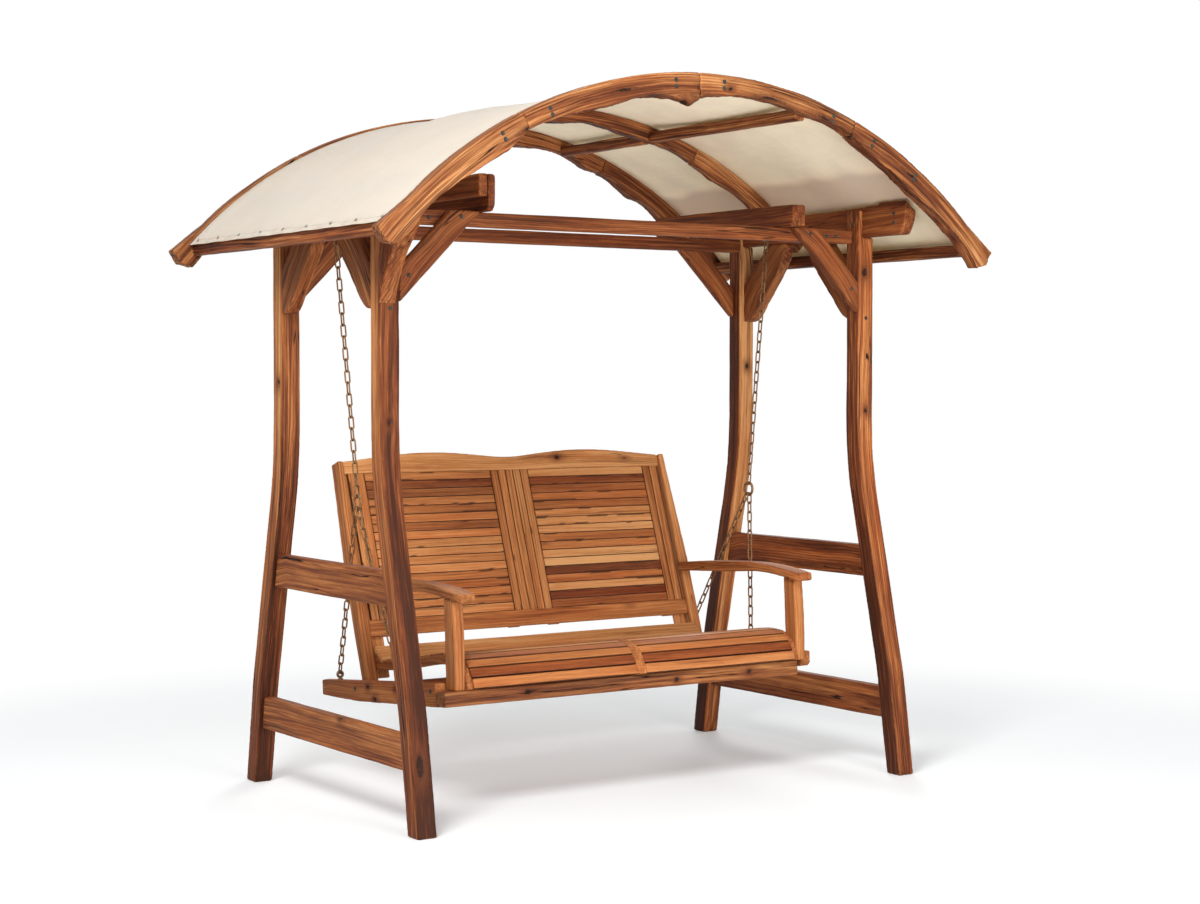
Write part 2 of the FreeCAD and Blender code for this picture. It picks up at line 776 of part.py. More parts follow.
def make_end_rib(end_name, end, shares):
    """An outer rib of four boards, with thick faceted feet beyond the eave rails."""
    body = new_body(f"rib_{end_name}")
    radius = value("rib_radius")
    half_angle = asin(value("rib_break_reach") / radius)
    sketch = new_sketch(body, "XZ_Plane")
    boards = rib_boards(shares, value("rib_depth"), radius, half_angle)
    for number, (top, under) in enumerate(boards):
        right_end = [top[-1]]
        left_end = [top[0]]
        if number == len(boards) - 1:
            right_end += foot_corners(1)
        if number == 0:
            left_end += foot_corners(-1)
        path = right_end + [under[0]]
        back = [under[-1]] + left_end[::-1]
        curves = [arc(*top)]
        curves.extend(line(begin, finish) for begin, finish in zip(path, path[1:]))
        curves.append(spline(under))
        curves.extend(line(begin, finish) for begin, finish in zip(back, back[1:]))
        sketch.addGeometry(curves, False)
    pad(body, sketch, "rib_thickness")
    place(body, y=f"{end} * rib_reach")


def make_middle_rib():
    """The hidden rib under the cloth, lapped over both side beams and butted to the eave rails."""
    body = new_body("rib_middle")
    radius = value(f"{CLOTH_UNDERSIDE_RADIUS} - cloth_gap")
    half_angle = asin(value(EAVE_INNER_X) / radius)
    sketch = new_sketch(body, "XZ_Plane")
    for top, under in rib_boards(MIDDLE_RIB_DEPTH_SHARES, value("middle_rib_depth"), radius, half_angle):
        curves = [arc(*top), line(top[-1], under[0]), spline(under), line(under[-1], top[0])]
        sketch.addGeometry(curves, False)
    pad(body, sketch, "middle_rib_thickness")
    trims = new_sketch(body, "XZ_Plane")
    for _, side in LEFT_RIGHT:
        near = f"{side} * {BEAM_INNER_X}"
        far = f"{side} * ({BEAM_INNER_X} + beam_thickness)"
        add_polygon(trims, rectangle(near, far, f"{LAP_Z} - rib_depth * 2", LAP_Z))
        beyond = f"{side} * ({EAVE_INNER_X} + cut_overrun_length)"
        rail_end = f"{side} * {EAVE_INNER_X}"
        add_polygon(trims, rectangle(rail_end, beyond, "beam_underside_height - rib_depth * 2", APEX_Z))
    pocket(body, trims)
    place(body, y="middle_rib_offset")


# Rails of the canopy

def make_purlins():
    """Two purlins, each in two lengths between the ribs."""
    body = new_body("purlins")
    sketch = new_sketch(body, "XY_Plane")
    near_rib = "(middle_rib_offset - middle_rib_thickness / 2)"
    far_rib = "(middle_rib_offset + middle_rib_thickness / 2)"
    for _, side in LEFT_RIGHT:
        left = f"{side} * purlin_offset - purlin_width / 2"
        right = f"{side} * purlin_offset + purlin_width / 2"
        add_polygon(sketch, rectangle(left, right, f"-{RIB_INNER_Y}", near_rib))
        add_polygon(sketch, rectangle(left, right, far_rib, RIB_INNER_Y))
    rails = pad(body, sketch, "purlin_depth")
    ease_edges(body, rails, "board_ease_radius")
    top = arch_height("purlin_offset + purlin_width / 2", CLOTH_UNDERSIDE_RADIUS)
    place(body, z=f"{top} - cloth_sag_depth - purlin_depth / 2")


def make_eave_rails():
    body = new_body("eave_rails")
    top = f"({arch_height(EAVE_OUTER_X, CLOTH_UNDERSIDE_RADIUS)} - 3 * cloth_gap)"
    sketch = new_sketch(body, "XZ_Plane")
    for _, side in LEFT_RIGHT:
        near = f"{side} * {EAVE_INNER_X}"
        far = f"{side} * {EAVE_OUTER_X}"
        add_polygon(sketch, rectangle(near, far, f"{top} - eave_depth", top))
    pad(body, sketch, f"2 * {RIB_INNER_Y}")


# Cloth

def cloth_section(y, sag):
    """Closed outline of the cloth at one place along Y: two arcs joined by the hems."""
    reach = value("cloth_reach")
    radius = value(CLOTH_UNDERSIDE_RADIUS)
    thickness = value("cloth_thickness")
    hem_angle = asin(reach / radius)
    low_hem = on_arch(hem_angle, radius)
    high_hem = on_arch(hem_angle, radius + thickness)
    low_top = on_arch(0, radius)[1] - sag
    high_top = low_top + thickness

    def point(x, z):
        return Vector(x, y, z)

    under = Part.Arc(point(-low_hem[0], low_hem[1]), point(0, low_top), point(*low_hem))
    over = Part.Arc(point(high_hem[0], high_hem[1]), point(0, high_top), point(-high_hem[0], high_hem[1]))
    right_hem = Part.LineSegment(point(*low_hem), point(*high_hem))
    left_hem = Part.LineSegment(point(-high_hem[0], high_hem[1]), point(-low_hem[0], low_hem[1]))
    return Part.Wire([under.toShape(), right_hem.toShape(), over.toShape(), left_hem.toShape()])


def make_cloth():
    """Cloth stretched over the ribs, drawn down a little between them."""
    front = -value(f"{RIB_INNER_Y} - cloth_gap")
    rear = -front
    rib_front = value("middle_rib_offset - middle_rib_thickness / 2")
    rib_rear = value("middle_rib_offset + middle_rib_thickness / 2")
    sag = value("cloth_sag_depth")
    stations = [(front + share * (rib_front - front), depth) for share, depth in FRONT_BAY_SAG_SHARES]
    stations.extend([(rib_front, 0), (rib_rear, 0)])
    stations.extend([(rib_rear + share * (rear - rib_rear), depth) for share, depth in REAR_BAY_SAG_SHARES])
    wires = [cloth_section(y, sag * depth) for y, depth in stations]
    shape_piece("canopy_cloth", [Part.makeLoft(wires, True, False)])


def make_tacks():
    """Flat tack heads along each hem."""
    radius = value(f"{CLOTH_UNDERSIDE_RADIUS} + cloth_thickness + 2 * cloth_gap")
    angle = asin(value(EAVE_OUTER_X) / radius)
    reach = value(f"{RIB_INNER_Y} - tack_offset")
    count = int(value("tack_count"))
    solids = []
    for _, side in LEFT_RIGHT:
        x, z = on_arch(side * angle, radius)
        outward = Vector(sin(side * angle), 0, cos(angle))
        for index in range(count):
            y = -reach + 2 * reach * index / (count - 1)
            solids.append(
                Part.makeCylinder(value("tack_radius"), value("tack_thickness"), Vector(x, y, z), outward)
            )
    shape_piece("canopy_tacks", solids)


# Bolt heads of the stand

def knee_bolts():
    inset = value("bolt_offset")
    rise = value("long_beam_top_height - knee_foot_height")
    half_cut = value("knee_cut_height") / 2
    foot_x = value(LEG_INNER_X) - inset
    foot_z = value("knee_foot_height") + half_cut + inset
    head_x = value(LEG_INNER_X) - rise + half_cut + inset * HEAD_BOLT_SHARE
    head_z = value("long_beam_top_height") - inset * HEAD_BOLT_SHARE
    heads = []
    for _, side in LEFT_RIGHT:
        for _, end in FRONT_REAR:
            face = end * value(LEG_FRONT_Y)
            for x, z in ((foot_x, foot_z), (head_x, head_z)):
                heads.append(bolt_head(Vector(side * x, face, z), ALONG_Y * end))
    return heads


def long_beam_bolts():
    face = value(f"{LEG_FRONT_Y} - knee_thickness")
    z = value("long_beam_top_height - long_beam_depth / 2")
    near = value(f"{LEG_INNER_X} - beam_bolt_offset")
    heads = []
    for _, side in LEFT_RIGHT:
        for _, end in FRONT_REAR:
            for step in (0, 1):
                x = side * (near - step * value("bolt_spacing"))
                heads.append(bolt_head(Vector(x, end * face, z), ALONG_Y * end))
    return heads


def side_beam_bolts():
    face = value(BEAM_INNER_X)
    y = value("beam_reach") - value("bolt_offset") * 2
    z = value("beam_underside_height + beam_depth / 2")
    tongue_face = value(LEG_INNER_X)
    tongue_z = value("beam_underside_height + tongue_height / 2")
    heads = []
    for _, side in LEFT_RIGHT:
        for _, end in FRONT_REAR:
            for up in (-1, 1):
                place_z = z + up * value("bolt_offset") / 2
                heads.append(bolt_head(Vector(side * face, end * y, place_z), -ALONG_X * side))
            tongue = Vector(side * tongue_face, end * value("shoulder_reach"), tongue_z)
            heads.append(bolt_head(tongue, -ALONG_X * side))
    return heads


def leg_bolts():
    z = value("knee_foot_height") - value("bolt_offset") / 2
    heads = []
    for _, side in LEFT_RIGHT:
        heads.append(bolt_head(Vector(side * value(LEG_X), -value(LEG_FRONT_Y), z), -ALONG_Y))
    return heads


def rib_bolts():
    radius = value("rib_radius - rib_depth / 2")
    half_spacing = value("bolt_spacing") / 4
    half_angle = asin(value("rib_break_reach / rib_radius"))
    heads = []
    for _, end in FRONT_REAR:
        face = end * value("rib_reach + rib_thickness / 2")
        for share in RIB_BOLT_SHARES:
            for up in (-1, 1):
                x, z = on_arch(share * half_angle, radius + up * half_spacing)
                heads.append(bolt_head(Vector(x, face, z), ALONG_Y * end))
    return heads


def make_frame_bolts():
    heads = knee_bolts() + long_beam_bolts() + side_beam_bolts() + leg_bolts() + rib_bolts()
    shape_piece("frame_bolts", heads)


# Hanger eyes, chains and rings

def make_hanger_eyes():
    """Eye bolts through the side beams, each with its nut on the outer face."""
    solids = []
    ring_radius = value("eye_radius")
    wire = value("eye_wire_radius")
    for _, side in LEFT_RIGHT:
        centre = Vector(side * value("hook_reach"), value("hook_offset"), value(EYE_CENTRE_Z))
        eye = Part.makeTorus(ring_radius, wire, centre, ALONG_Y)
        start = centre + ALONG_X * side * ring_radius
        outer_face = value(f"{BEAM_INNER_X} + beam_thickness")
        end_x = outer_face + value("nut_thickness")
        shank = Part.makeCylinder(value("shank_radius"), end_x - abs(start.x), start, ALONG_X * side)
        nut_start = Vector(side * outer_face, centre.y, centre.z)
        nut = Part.makeCylinder(value("nut_radius"), value("nut_thickness"), nut_start, ALONG_X * side)
        solids.append(eye.fuse([shank, nut]).removeSplitter().Solids[0])
    shape_piece("hanger_eyes", solids)


def chain_link(half_length):
    """One link: two half rings and two bars, long way along Z, flat in the Y-Z plane."""
    radius = value("link_radius")
    wire = value("link_wire_radius")
    top = Vector(0, 0, half_length)
    bottom = Vector(0, 0, -half_length)
    upper = Part.makeTorus(radius, wire, top, ALONG_X, -180, 180, 180)
    upper.rotate(top, ALONG_X, turn_to_top(upper, top))
    lower = upper.copy()
    lower.rotate(Vector(), ALONG_X, 180)
    bars = [
        Part.makeCylinder(wire, 2 * half_length, bottom + ALONG_Y * radius * sign, ALONG_Z)
        for sign in (-1, 1)
    ]
    return upper.fuse([lower] + bars).removeSplitter().Solids[0]


def turn_to_top(half_ring, centre):
    """Angle that turns a half ring about X until its middle lies straight above the centre."""
    offset = half_ring.CenterOfMass - centre
    return 90 - degrees(atan2(offset.z, offset.y))


def make_chain(label, top, bottom, count, first_turn):
    """A taut chain between the wires at two points, its links turned by turns a quarter round."""
    fixed = 2 * value("link_radius") - 2 * value("link_wire_radius") - value("link_gap")
    along = top - bottom
    half_length = (along.Length - (count - 1) * fixed) / (2 * count)
    pitch = 2 * half_length + fixed
    link = chain_link(half_length)
    upright = FreeCAD.Rotation(ALONG_Z, along)
    links = []
    for index in range(count):
        distance = half_length + index * pitch
        turn = FreeCAD.Rotation(ALONG_Z, first_turn + 90 * (index % 2))
        copy = link.copy()
        middle = top - along * (distance / along.Length)
        copy.Placement = FreeCAD.Placement(middle, upright.multiply(turn))
        links.append(copy)
    shape_piece(label, links)


def ring_centre(side):
    return Vector(side * value("ring_reach"), value("hook_offset"), value("ring_height"))


def seat_point(x, along, above):
    """A point given along the tilted seat line and above it."""
    tilt = radians(value("seat_tilt"))
    y = along * cos(tilt) + above * sin(tilt)
    z = value("seat_line_height") - along * sin(tilt) + above * cos(tilt)
    return Vector(x, y, z)


EYE_STAND = "(seat_eye_stem_height + seat_eye_wire_radius + seat_eye_radius)"


def make_chains(side_name, side):
    hook = Vector(side * value("hook_reach"), value("hook_offset"), value("hook_height"))
    ring = ring_centre(side)
    ring_radius = value("ring_radius")
    count = int(value("upper_link_count"))
    make_chain(f"upper_chain_{side_name}", hook, ring + ALONG_Z * ring_radius, count, 0)
    above = value(f"{EYE_STAND} + seat_eye_radius")
    for end_name, _ in FRONT_REAR:
        eye = seat_point(side * value("sled_offset"), value(f"{end_name}_eye_offset"), above)
        down = Vector(0, eye.y - ring.y, eye.z - ring.z).normalize()
        count = int(value(f"{end_name}_link_count"))
        make_chain(f"{end_name}_chain_{side_name}", ring + down * ring_radius, eye, count, 90)


def make_rings():
    rings = [
        Part.makeTorus(value("ring_radius"), value("ring_wire_radius"), ring_centre(side), ALONG_X)
        for _, side in LEFT_RIGHT
    ]
    shape_piece("chain_rings", rings)


def make_seat_eyes():
    """Screw eyes in the tops of the sleds."""
    solids = []
    tilt = radians(value("seat_tilt"))
    up = Vector(0, sin(tilt), cos(tilt))
    for _, side in LEFT_RIGHT:
        for offset in ("front_eye_offset", "rear_eye_offset"):
            foot = seat_point(side * value("sled_offset"), value(offset), 0)
            collar_height = value("seat_eye_stem_height")
            collar = Part.makeCylinder(value("seat_eye_collar_radius"), collar_height, foot, up)
            stem_length = value("seat_eye_stem_height + seat_eye_wire_radius")
            stem = Part.makeCylinder(value("seat_eye_wire_radius"), stem_length, foot, up)
            centre = seat_point(side * value("sled_offset"), value(offset), value(EYE_STAND))
            across = up.cross(ALONG_X)
            eye = Part.makeTorus(value("seat_eye_radius"), value("seat_eye_wire_radius"), centre, across)
            solids.append(eye.fuse([collar, stem]).removeSplitter().Solids[0])
    shape_piece("seat_eyes", solids)


# Seat frame

def on_seat_line(body, x=None):
    lean(body, "seat_tilt", x=x, z="seat_line_height")


def make_sled(side_name, side):
    """A runner of the bench, deepest in front of the back post."""
    body = new_body(f"sled_{side_name}")
    if side_name == "left":
        # The left one butts against the back of the front bearer, level with its underside
        front = "-front_bearer_offset + bearer_width / 2"
        nose = [(front, "-bearer_drop - bearer_depth")]
    else:
        # The right one runs past the bearer's end to a blunt nose
        front = "-sled_front_reach"
        nose = [
            ("-sled_front_reach", "-sled_depth + sled_chamfer_length"),
            ("-sled_front_reach + sled_chamfer_length", "-sled_depth"),
        ]
    corners = nose + [
        ("sled_belly_reach", "-sled_belly_depth"),
        ("sled_rear_reach", "-sled_rear_depth"),
        ("sled_rear_reach", "0"),
        (front, "0"),
    ]
    board = pad(body, polygon_sketch(body, "YZ_Plane", corners), "sled_thickness")
    ease_edges(body, board, "board_ease_radius")
    on_seat_line(body, f"{side} * sled_offset")


def make_front_bearer():
    """The cross rail under the seat's front edge, from the left sled's face to the right arm post."""
    body = new_body("front_bearer")
    left = "(sled_offset + sled_thickness / 2)"
    corners = rectangle(
        "-front_bearer_offset - bearer_width / 2",
        "-front_bearer_offset + bearer_width / 2",
        "-bearer_drop - bearer_depth",
        "-bearer_drop",
    )
    middle = f"({POST_INNER_X} - {left}) / 2"
    board = pad(body, polygon_sketch(body, "YZ_Plane", corners, middle), f"{left} + {POST_INNER_X}")
    ease_edges(body, board, "board_ease_radius")
    on_seat_line(body)


def make_rear_bearer():
    """The upright board between the feet of the back posts."""
    body = new_body("rear_bearer")
    corners = rectangle(
        "rear_bearer_offset - rear_bearer_width / 2",
        "rear_bearer_offset + rear_bearer_width / 2",
        "-rear_bearer_drop - rear_bearer_depth / 2",
        "-rear_bearer_drop + rear_bearer_depth / 2",
    )
    board = pad(body, polygon_sketch(body, "YZ_Plane", corners), f"2 * {POST_INNER_X}")
    ease_edges(body, board, "board_ease_radius")
    on_seat_line(body)


def seat_slat_lines():
    """Start, direction and width of the top face of each slat, front to rear, then the rear board."""
    along = -value("seat_front_reach")
    above = -value("seat_front_drop")
    width = value("seat_slat_width")
    gap = value("seat_slat_gap")
    lines = []
    for index, tilt in enumerate(SEAT_SLAT_TILT_SHARES):
        angle = radians(tilt)
        lines.append((along, above, angle, width))
        following = SEAT_SLAT_TILT_SHARES[min(index + 1, len(SEAT_SLAT_TILT_SHARES) - 1)]
        gap_angle = radians((tilt + following) / 2)
        along += width * cos(angle) + gap * cos(gap_angle)
        above += width * sin(angle) + gap * sin(gap_angle)
    rise = radians(value("rear_board_tilt"))
    along += value("rear_board_gap") - gap
    lines.append((along, above, rise, value("rear_board_width")))
    return lines


def slat_solid(start_x, end_x, line_of_slat, thickness):
    along, above, angle, width = line_of_slat
    slat = Part.makeBox(end_x - start_x, width, thickness, Vector(start_x, 0, -thickness))
    slat.rotate(Vector(), ALONG_X, degrees(angle))
    slat.translate(Vector(0, along, above))
    return slat


def seat_shape(label, solids):
    """Solids laid out along the seat line, tilted and lifted with it."""
    feature = shape_piece(label, solids)
    rotation = FreeCAD.Rotation(-ALONG_X, value("seat_tilt"))
    feature.Placement = FreeCAD.Placement(Vector(0, 0, value("seat_line_height")), rotation)


def make_seat_slats():
    """Slats in two halves beside the divider, and the single board behind them."""
    slats = []
    near = value("divider_thickness / 2 + joint_gap")
    far = value(f"{SLAT_END_X} - joint_gap")
    thickness = value("seat_slat_thickness")
    for slat_line in seat_slat_lines()[:-1]:
        slats.append(slat_solid(-far, -near, slat_line, thickness))
        slats.append(slat_solid(near, far, slat_line, thickness))
    seat_shape("seat_slats", slats)
    end = value(POST_INNER_X)
    board = slat_solid(-end, end, seat_slat_lines()[-1], value("rear_board_thickness"))
    seat_shape("seat_rear_board", [board])


def slat_offsets(drop, places=(0, 1)):
    """Points a distance below the slats' faces, at some shares of each slat's width, front to rear."""
    points = []
    for along, above, angle, width in seat_slat_lines()[:-1]:
        for share in places:
            y = along + share * width * cos(angle) + drop * sin(angle)
            z = above + share * width * sin(angle) - drop * cos(angle)
            points.append((y, z))
    return points


def contour_curves(drop):
    """Outline of a contour board: its top a distance below the slats' faces, its underside lower."""
    top = slat_offsets(drop)
    along, above, angle, width = seat_slat_lines()[-1]
    below = value("rear_board_thickness + joint_gap")
    board_start = (along + below * sin(angle), above - below * cos(angle))
    reach = width / 2
    board_middle = (board_start[0] + reach * cos(angle), board_start[1] + reach * sin(angle))
    foot = -value("bearer_drop")
    toe = (top[0][0] + value("seat_slat_thickness"), foot)
    heel = (toe[0] + value("contour_foot_length"), foot)
    middles = slat_offsets(value("contour_depth"), places=(1 / 2,))
    under = [point for point in middles if point[0] > heel[0]]
    tail = value("contour_tail_reach")
    rear = [board_start, board_middle, (tail, board_middle[1]), (tail, under[-1][1])]
    points = top + rear + under[::-1] + [heel, toe]
    return [line(start, end) for start, end in zip(points, points[1:] + points[:1])]


def make_contour_boards():
    """Shaped rails that carry the slats: one at each end, with a band beside the slats' ends."""
    body = new_body("contour_boards")
    reveal = value("contour_reveal_depth")
    below = value("seat_slat_thickness + joint_gap")
    for _, side in LEFT_RIGHT:
        for drop, thickness, middle in (
            (reveal, "contour_band_width", f"({POST_INNER_X} - contour_band_width / 2)"),
            (below, "contour_ledge_width", f"({SLAT_END_X} - contour_ledge_width / 2)"),
        ):
            sketch = curved_sketch(body, "YZ_Plane", contour_curves(drop), f"{side} * {middle}")
            pad(body, sketch, thickness)
    on_seat_line(body)


def make_divider():
    """The middle rail: a wide ledge under the slats' ends with a narrow band between them."""
    body = new_body("seat_divider")
    below = value("seat_slat_thickness + joint_gap")
    pad(body, curved_sketch(body, "YZ_Plane", contour_curves(below)), "divider_support_width")
    pad(body, curved_sketch(body, "YZ_Plane", contour_curves(0)), "divider_thickness")
    on_seat_line(body)


# Back

def on_back_line(body, x=None):
    lean(body, "back_lean", x=x, y="back_foot_offset", z="back_foot_height")


def make_back_post(side_name, side):
    """A leaning post, tapered on its outer face towards the top."""
    body = new_body(f"back_post_{side_name}")
    corners = rectangle("-post_depth / 2", "post_depth / 2", "-post_foot_length", "post_top_height")
    pad(body, polygon_sketch(body, "YZ_Plane", corners), "post_thickness")
    outer = f"{side} * post_thickness / 2"
    beyond = f"{side} * (post_thickness / 2 + cut_overrun_length)"
    slope = "post_taper_width / (post_top_height - post_taper_height)"
    top_outer = f"(post_thickness / 2 - post_taper_width - {slope} * cut_overrun_length)"
    wedge = [
        (outer, "post_taper_height"),
        (beyond, "post_taper_height"),
        (beyond, "post_top_height + cut_overrun_length"),
        (f"{side} * {top_outer}", "post_top_height + cut_overrun_length"),
    ]
    post = pocket(body, polygon_sketch(body, "XZ_Plane", wedge))
    ease_edges(body, post, "board_ease_radius")
    on_back_line(body, f"{side} * {POST_X}")


# In the back's own frame the plane between the slats and the boards behind them is y = 0

def add_back_pad(body, sketch, length):
    """Material in front of the sketch plane."""
    feature = body.newObject("PartDesign::Pad", f"{body.Label}_pad")
    feature.Profile = sketch
    feature.setExpression("Length", cells(length))
    doc.recompute()
    return feature


def make_crest_rail():
    """Top rail between the posts, with a hump over each panel and a dip between them."""
    body = new_body("crest_rail")
    half = value(POST_INNER_X)
    low = value("panel_top_height")
    valley = low + value("crest_valley_height")
    hump = low + value("crest_hump_height")
    end = low + value("crest_end_height")
    right = [(share * half, valley + rise * (hump - valley)) for share, rise in CREST_HUMP_SHARES]
    left = [(-x, z) for x, z in reversed(right)]
    crest = [(-half, end)] + left + [(0, valley)] + right + [(half, end)]
    curves = [
        spline(crest),
        line((half, end), (half, low)),
        line((half, low), (-half, low)),
        line((-half, low), (-half, end)),
    ]
    rail = pad(body, curved_sketch(body, "XZ_Plane", curves), "crest_thickness")
    ease_edges(body, rail, "board_ease_radius")
    on_back_line(body)


def make_lower_back_rail():
    body = new_body("lower_back_rail")
    corners = rectangle(f"-{POST_INNER_X}", POST_INNER_X, "lower_back_rail_height", "panel_foot_height")
    sketch = polygon_sketch(body, "XZ_Plane", corners)
    rail = add_back_pad(body, sketch, "lower_back_rail_thickness")
    ease_edges(body, rail, "board_ease_radius")
    on_back_line(body)


def make_back_slats():
    """Two panels of level slats."""
    body = new_body("back_slats")
    sketch = new_sketch(body, "XZ_Plane")
    pitch = "((panel_top_height - panel_foot_height) / back_slat_count)"
    low = f"(panel_foot_height + ({pitch} - back_slat_height) / 2)"
    for _, side in LEFT_RIGHT:
        near = f"{side} * {PANEL_INNER_X}"
        far = f"{side} * ({PANEL_INNER_X} + back_slat_length)"
        add_polygon(sketch, rectangle(near, far, low, f"{low} + back_slat_height"))
    add_back_pad(body, sketch, "back_slat_thickness")
    repeat(body, "Z_Axis", pitch, "back_slat_count")
    on_back_line(body)


def make_back_strips():
    """Upright strips: a band in the middle and one beside each panel's outer end."""
    body = new_body("back_strips")
    sketch = new_sketch(body, "XZ_Plane")
    pitch = "(strip_width + strip_gap)"
    for index in range(int(value("centre_strip_count"))):
        centre = f"(({index} - (centre_strip_count - 1) / 2) * {pitch})"
        left = f"{centre} - strip_width / 2"
        right = f"{centre} + strip_width / 2"
        add_polygon(sketch, rectangle(left, right, "panel_foot_height", "panel_top_height"))
    for _, side in LEFT_RIGHT:
        for index in range(int(value("side_strip_count"))):
            near = f"({PANEL_INNER_X} + back_slat_length + panel_gap + {index} * {pitch})"
            far = f"({near} + strip_width)"
            strip = rectangle(f"{side} * {near}", f"{side} * {far}", "panel_foot_height", "panel_top_height")
            add_polygon(sketch, strip)
    add_back_pad(body, sketch, "back_slat_thickness")
    on_back_line(body)


def make_back_stiles():
    """Upright boards behind the slats: battens under the slats' ends and a stile beside each post."""
    body = new_body("back_stiles")
    sketch = new_sketch(body, "XZ_Plane")
    panel_outer = f"({PANEL_INNER_X} + back_slat_length)"
    inner_batten = f"({PANEL_INNER_X} + batten_overlap - batten_width)"
    outer_batten = f"({panel_outer} - batten_overlap)"
    stile = f"({POST_INNER_X} - stile_gap - stile_width)"
    for _, side in LEFT_RIGHT:
        for near, width, foot in (
            (inner_batten, "batten_width", "lower_back_rail_height"),
            (outer_batten, "batten_width", "lower_back_rail_height"),
            (stile, "stile_width", "-stile_drop"),
        ):
            far = f"({near} + {width})"
            add_polygon(sketch, rectangle(f"{side} * {near}", f"{side} * {far}", foot, "panel_top_height"))
    rearward = add_back_pad(body, sketch, "stile_thickness")
    rearward.Reversed = True
    doc.recompute()
    on_back_line(body)


# Arms

def post_front_y(height):
    """Where the front face of a back post lies at a height."""
    slope = tan(radians(value("back_lean")))
    face = value("post_depth") / 2 / cos(radians(value("back_lean")))
    return value("back_foot_offset") + (height - value("back_foot_height")) * slope - face


def make_arm(side_name, side):
    """A sculpted arm: waved top, drooping scroll at the front, waisted in plan."""
    body = new_body(f"arm_{side_name}")
    top = value("arm_height")
    thickness = value("arm_thickness")
    low = top - thickness
    front = -value("arm_front_reach")
    rear_top = (post_front_y(top), top)
    rear_low = (post_front_y(low), low)
    length = rear_top[0] - front
    upper = [(front + share * length, top + rise * thickness) for share, rise in ARM_TOP_SHARES]
    under = [(front + share * length, top + rise * thickness) for share, rise in ARM_UNDERSIDE_SHARES]
    nose = (front, (upper[0][1] + under[0][1]) / 2)
    curves = [
        spline(upper + [rear_top]),
        line(rear_top, rear_low),
        spline([rear_low] + under[::-1]),
        arc(under[0], nose, upper[0]),
    ]
    pad(body, curved_sketch(body, "YZ_Plane", curves), "arm_width")
    half = value("arm_width") / 2
    waist = value("arm_waist_width") / 2
    overrun = value("cut_overrun_length")
    plan = new_sketch(body, "XY_Plane")
    for flank in (-1, 1):
        edge = [
            (flank * (waist + share_of_width * (half - waist)), front + share * length)
            for share, share_of_width in ARM_PLAN_SHARES
        ]
        first = (flank * waist * ARM_TIP_SHARE, front - overrun)
        last = (flank * waist, rear_top[0] + overrun)
        wide = flank * (half + overrun)
        plan.addGeometry(spline([first] + edge + [last]), False)
        plan.addGeometry(line(last, (wide, last[1])), False)
        plan.addGeometry(line((wide, last[1]), (wide, first[1])), False)
        plan.addGeometry(line((wide, first[1]), first), False)
    pocket(body, plan)
    housing = rectangle(
        "-arm_post_front_reach + arm_post_lean_depth - housing_gap",
        "-arm_post_front_reach + arm_post_lean_depth + arm_post_depth + housing_gap",
        "arm_post_top_height - arm_thickness",
        "arm_post_top_height",
    )
    pocket(body, polygon_sketch(body, "YZ_Plane", housing))
    place(body, x=f"{side} * arm_offset")


def make_arm_posts():
    """The posts under the arms' fronts, leaning back a little, level below with the bearer's top."""
    body = new_body("arm_posts")
    tilt = radians(value("seat_tilt"))
    front = -value("arm_post_front_reach")
    depth = value("arm_post_depth")
    top_front = front + value("arm_post_lean_depth")
    top = value("arm_post_top_height")

    def foot(y):
        return value("seat_line_height") - y * tan(tilt) - value("bearer_drop") / cos(tilt)

    middle = ((front + top_front) / 2 - value("arm_post_bulge_depth"), (top + foot(front)) / 2)
    curves = [
        line((front, foot(front)), (front + depth, foot(front + depth))),
        line((front + depth, foot(front + depth)), (top_front + depth, top)),
        line((top_front + depth, top), (top_front, top)),
        arc((top_front, top), middle, (front, foot(front))),
    ]
    for _, side in LEFT_RIGHT:
        sketch = curved_sketch(body, "YZ_Plane", curves, f"{side} * {ARM_POST_X}")
        post = pad(body, sketch, "arm_post_thickness")
    ease_edges(body, post, "board_ease_radius")


def make_bench_bolts():
    """Bolt heads on the outer face of each sled, behind the bearer and at the back post."""
    face = value("sled_offset + sled_thickness / 2")
    middle = -value("sled_depth") / 2
    places = (value("bearer_width - front_bearer_offset"), value("back_foot_offset - post_depth / 2"))
    heads = []
    for _, side in LEFT_RIGHT:
        for along in places:
            heads.append(bolt_head(seat_point(side * face, along, middle), ALONG_X * side))
    shape_piece("bench_bolts", heads)


# Assembly of the stand

for side_name, side in LEFT_RIGHT:
    for end_name, end in FRONT_REAR:
        make_leg(side_name, side, end_name, end)
        make_knee_brace(side_name, side, end_name, end)
        make_side_brace(side_name, side, end_name, end)
    make_side_rail(f"lower_rail_{side_name}", side, "lower_rail_height", "lower_rail_depth", shin_inner)
    make_side_rail(f"upper_rail_{side_name}", side, "upper_rail_height", "upper_rail_depth", thigh_inner)
    make_side_beam(side_name, side)
    make_cross_beam(side_name, side)
for end_name, end in FRONT_REAR:
    make_long_beam(end_name, end)
make_cross_ledgers()
make_eave_rails()
make_corbel()
make_end_rib("front", -1, FRONT_RIB_DEPTH_SHARES)
make_end_rib("rear", 1, REAR_RIB_DEPTH_SHARES)
make_middle_rib()
make_purlins()
make_cloth()
make_tacks()
make_frame_bolts()
make_hanger_eyes()

# Assembly of the bench

